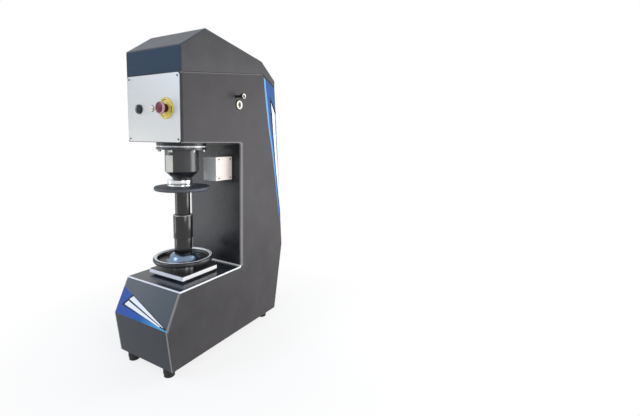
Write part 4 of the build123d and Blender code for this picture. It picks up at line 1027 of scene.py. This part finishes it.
# %% Side wedge
side_blue = printed_film(
    "vinyl_film_blue_side", ["#375688", "#2e598e", "#2e5790", "#32538e"], "Z", 0.43, 1.09,
)
side_light = printed_film(
    "vinyl_film_blue_light", ["#4867a0", "#5888ba", "#609cca", "#6ca6d2"], "Z", 0.43, 1.09,
)
side_pale = printed_film("vinyl_film_streak", ["#9db7a8", "#e8eeee", "#fafafa"], "Z", 0.5, 0.98)
side_grey = printed_film("vinyl_film_grey", ["#5f7f78", "#7f9fae", "#86a6bc"], "Z", 0.6, 0.98)
BACK, UP = Vector((0, 1, 0)), Vector((0, 0, 1))
front_line = [
    (508, 1101), (524, 1001), (544, 896), (571, 791), (592, 695), (607.5, 609), (626, 507)
]
side_films = [
    ("side_wedge_blue", side_blue, 0.02, [*front_line, (646.5, 432), (585, 1066)]),
    ("side_wedge_light", side_light, 0.1,
     [*front_line, (640, 455), (630, 507), (614, 609), (601, 695), (581, 791), (555, 896),
      (536, 1001), (519, 1096)]),
    ("side_wedge_outline", black_film, 0.2,
     [(553, 1027), (562, 958), (571, 896), (587, 800), (602, 700), (622, 590), (643, 470),
      (646, 470), (628, 620), (614, 760), (605, 880), (600, 962)]),
    ("side_streak_white", side_pale, 0.35,
     [(563, 999), (572.5, 950), (579, 891), (590, 815), (606, 700), (638, 520), (641, 520),
      (621, 690), (609, 780), (601, 850), (596, 892), (589, 958)]),
    ("side_streak_grey", side_grey, 0.35,
     [(592, 955), (599, 892), (604, 850), (612, 780), (616, 780), (608, 870), (602, 948)]),
]
for name, material, lift, outline in side_films:
    film(name, outline, (SIDE, 0, 0), BACK, UP, lift, material)

# %% [markdown]
# ## Studio
# The floor is a large pale sheet under and behind the machine. Close to the machine a part of its
# light is that of a matt surface, which takes a soft shadow, and further out it turns into the
# plain white of the background, so no horizon shows. A curved backdrop would do the same only
# from one side. The world lights the machine softly, and the camera and the reflections see it
# white.

# %% Floor
def sees_white(tree):
    """1 for rays that should find a white background."""
    rays = add(tree, "ShaderNodeLightPath")
    first = add(
        tree, "ShaderNodeMath",
        links={0: rays.outputs["Is Camera Ray"], 1: rays.outputs["Is Glossy Ray"]},
        operation="MAXIMUM",
    )
    return add(
        tree, "ShaderNodeMath",
        links={0: first.outputs[0], 1: rays.outputs["Is Transmission Ray"]},
        operation="MAXIMUM",
    ).outputs[0]


bm = bmesh.new()
bmesh.ops.create_grid(bm, x_segments=8, y_segments=8, size=7.0)
material = bpy.data.materials.new("studio_paper")
material.use_nodes = True
tree = material.node_tree
tree.nodes.clear()
paper = add(tree, "ShaderNodeBsdfDiffuse", {"Color": tint("#f2f2f2")})
white = add(tree, "ShaderNodeEmission", {"Color": (1, 1, 1, 1), "Strength": 1.0})
where = add(tree, "ShaderNodeTexCoord").outputs["Object"]
far = add(tree, "ShaderNodeVectorMath", links={0: where}, operation="LENGTH")
matt_within, white_beyond = 0.35, 0.95  # metres from the machine's middle
fade = add(
    tree, "ShaderNodeMapRange",
    {"From Min": matt_within, "From Max": white_beyond, "To Min": 0.8, "To Max": 1.0},
    {"Value": far.outputs["Value"]},
)
amount = add(
    tree, "ShaderNodeMath", links={0: fade.outputs["Result"], 1: sees_white(tree)},
    operation="MULTIPLY",
)
surface = add(
    tree, "ShaderNodeMixShader",
    links={0: amount.outputs[0], 1: paper.outputs[0], 2: white.outputs[0]},
)
add(tree, "ShaderNodeOutputMaterial", links={"Surface": surface.outputs[0]})
link("floor", bm, [material])

# %% World
world = bpy.data.worlds.new("studio")
bpy.context.scene.world = world
world.use_nodes = True
sky = world.node_tree
sky.nodes.clear()
soft = add(sky, "ShaderNodeBackground", {"Color": tint("#e6f0ff"), "Strength": 0.45})
plain = add(sky, "ShaderNodeBackground", {"Color": (1, 1, 1, 1), "Strength": 1.0})
both = add(
    sky, "ShaderNodeMixShader",
    links={0: sees_white(sky), 1: soft.outputs[0], 2: plain.outputs[0]},
)
add(sky, "ShaderNodeOutputWorld", links={"Surface": both.outputs[0]})
print("world nodes:", len(sky.nodes))

# %% [markdown]
# ### Lamps
# Two broad lamps give even light: a slightly warm one from the right and a cooler one from the
# front left. Black enamel shows little of such light. Studios stand tall softboxes beside round
# glossy pieces as well, because an upright strip shows as one clean upright streak. One strip
# stands at the front left and one at the right rear. The lamps are hidden from the camera, and
# show only in what they light. Their places are in metres in Blender's own frame.

# %% Lamps
def lamp(name, at, aim, size, power, colour="#ffffff", height=None):
    """A soft lamp that points at a place: round, or an upright strip where a height is given."""
    data = bpy.data.lights.new(name, "AREA")
    data.shape = "RECTANGLE" if height else "DISK"
    data.size = size
    if height:
        data.size_y = height
    data.energy = power
    data.color = tint(colour)[:3]
    holder = bpy.data.objects.new(name, data)
    bpy.context.scene.collection.objects.link(holder)
    holder.location = at
    holder.rotation_euler = (Vector(aim) - Vector(at)).to_track_quat("-Z", "Y").to_euler()
    holder.visible_camera = False
    print(name, power, "W")


MIDDLE_HEIGHT = (0, 0, 0.65)
lamp("lamp_right", (2.9, -0.8, 1.5), MIDDLE_HEIGHT, 1.6, 32, "#fff8f2")
lamp("lamp_front_left", (-1.3, -2.5, 2.0), MIDDLE_HEIGHT, 1.4, 34, "#d4e2ff")
lamp("strip_front_left", (-1.07, -0.9, 0.42), (0, -0.1, 0.42), 0.3, 3.2, height=0.8)
lamp("strip_right_rear", (0.97, 0.70, 0.7), (0, -0.1, 0.7), 0.7, 10.5, height=1.0)
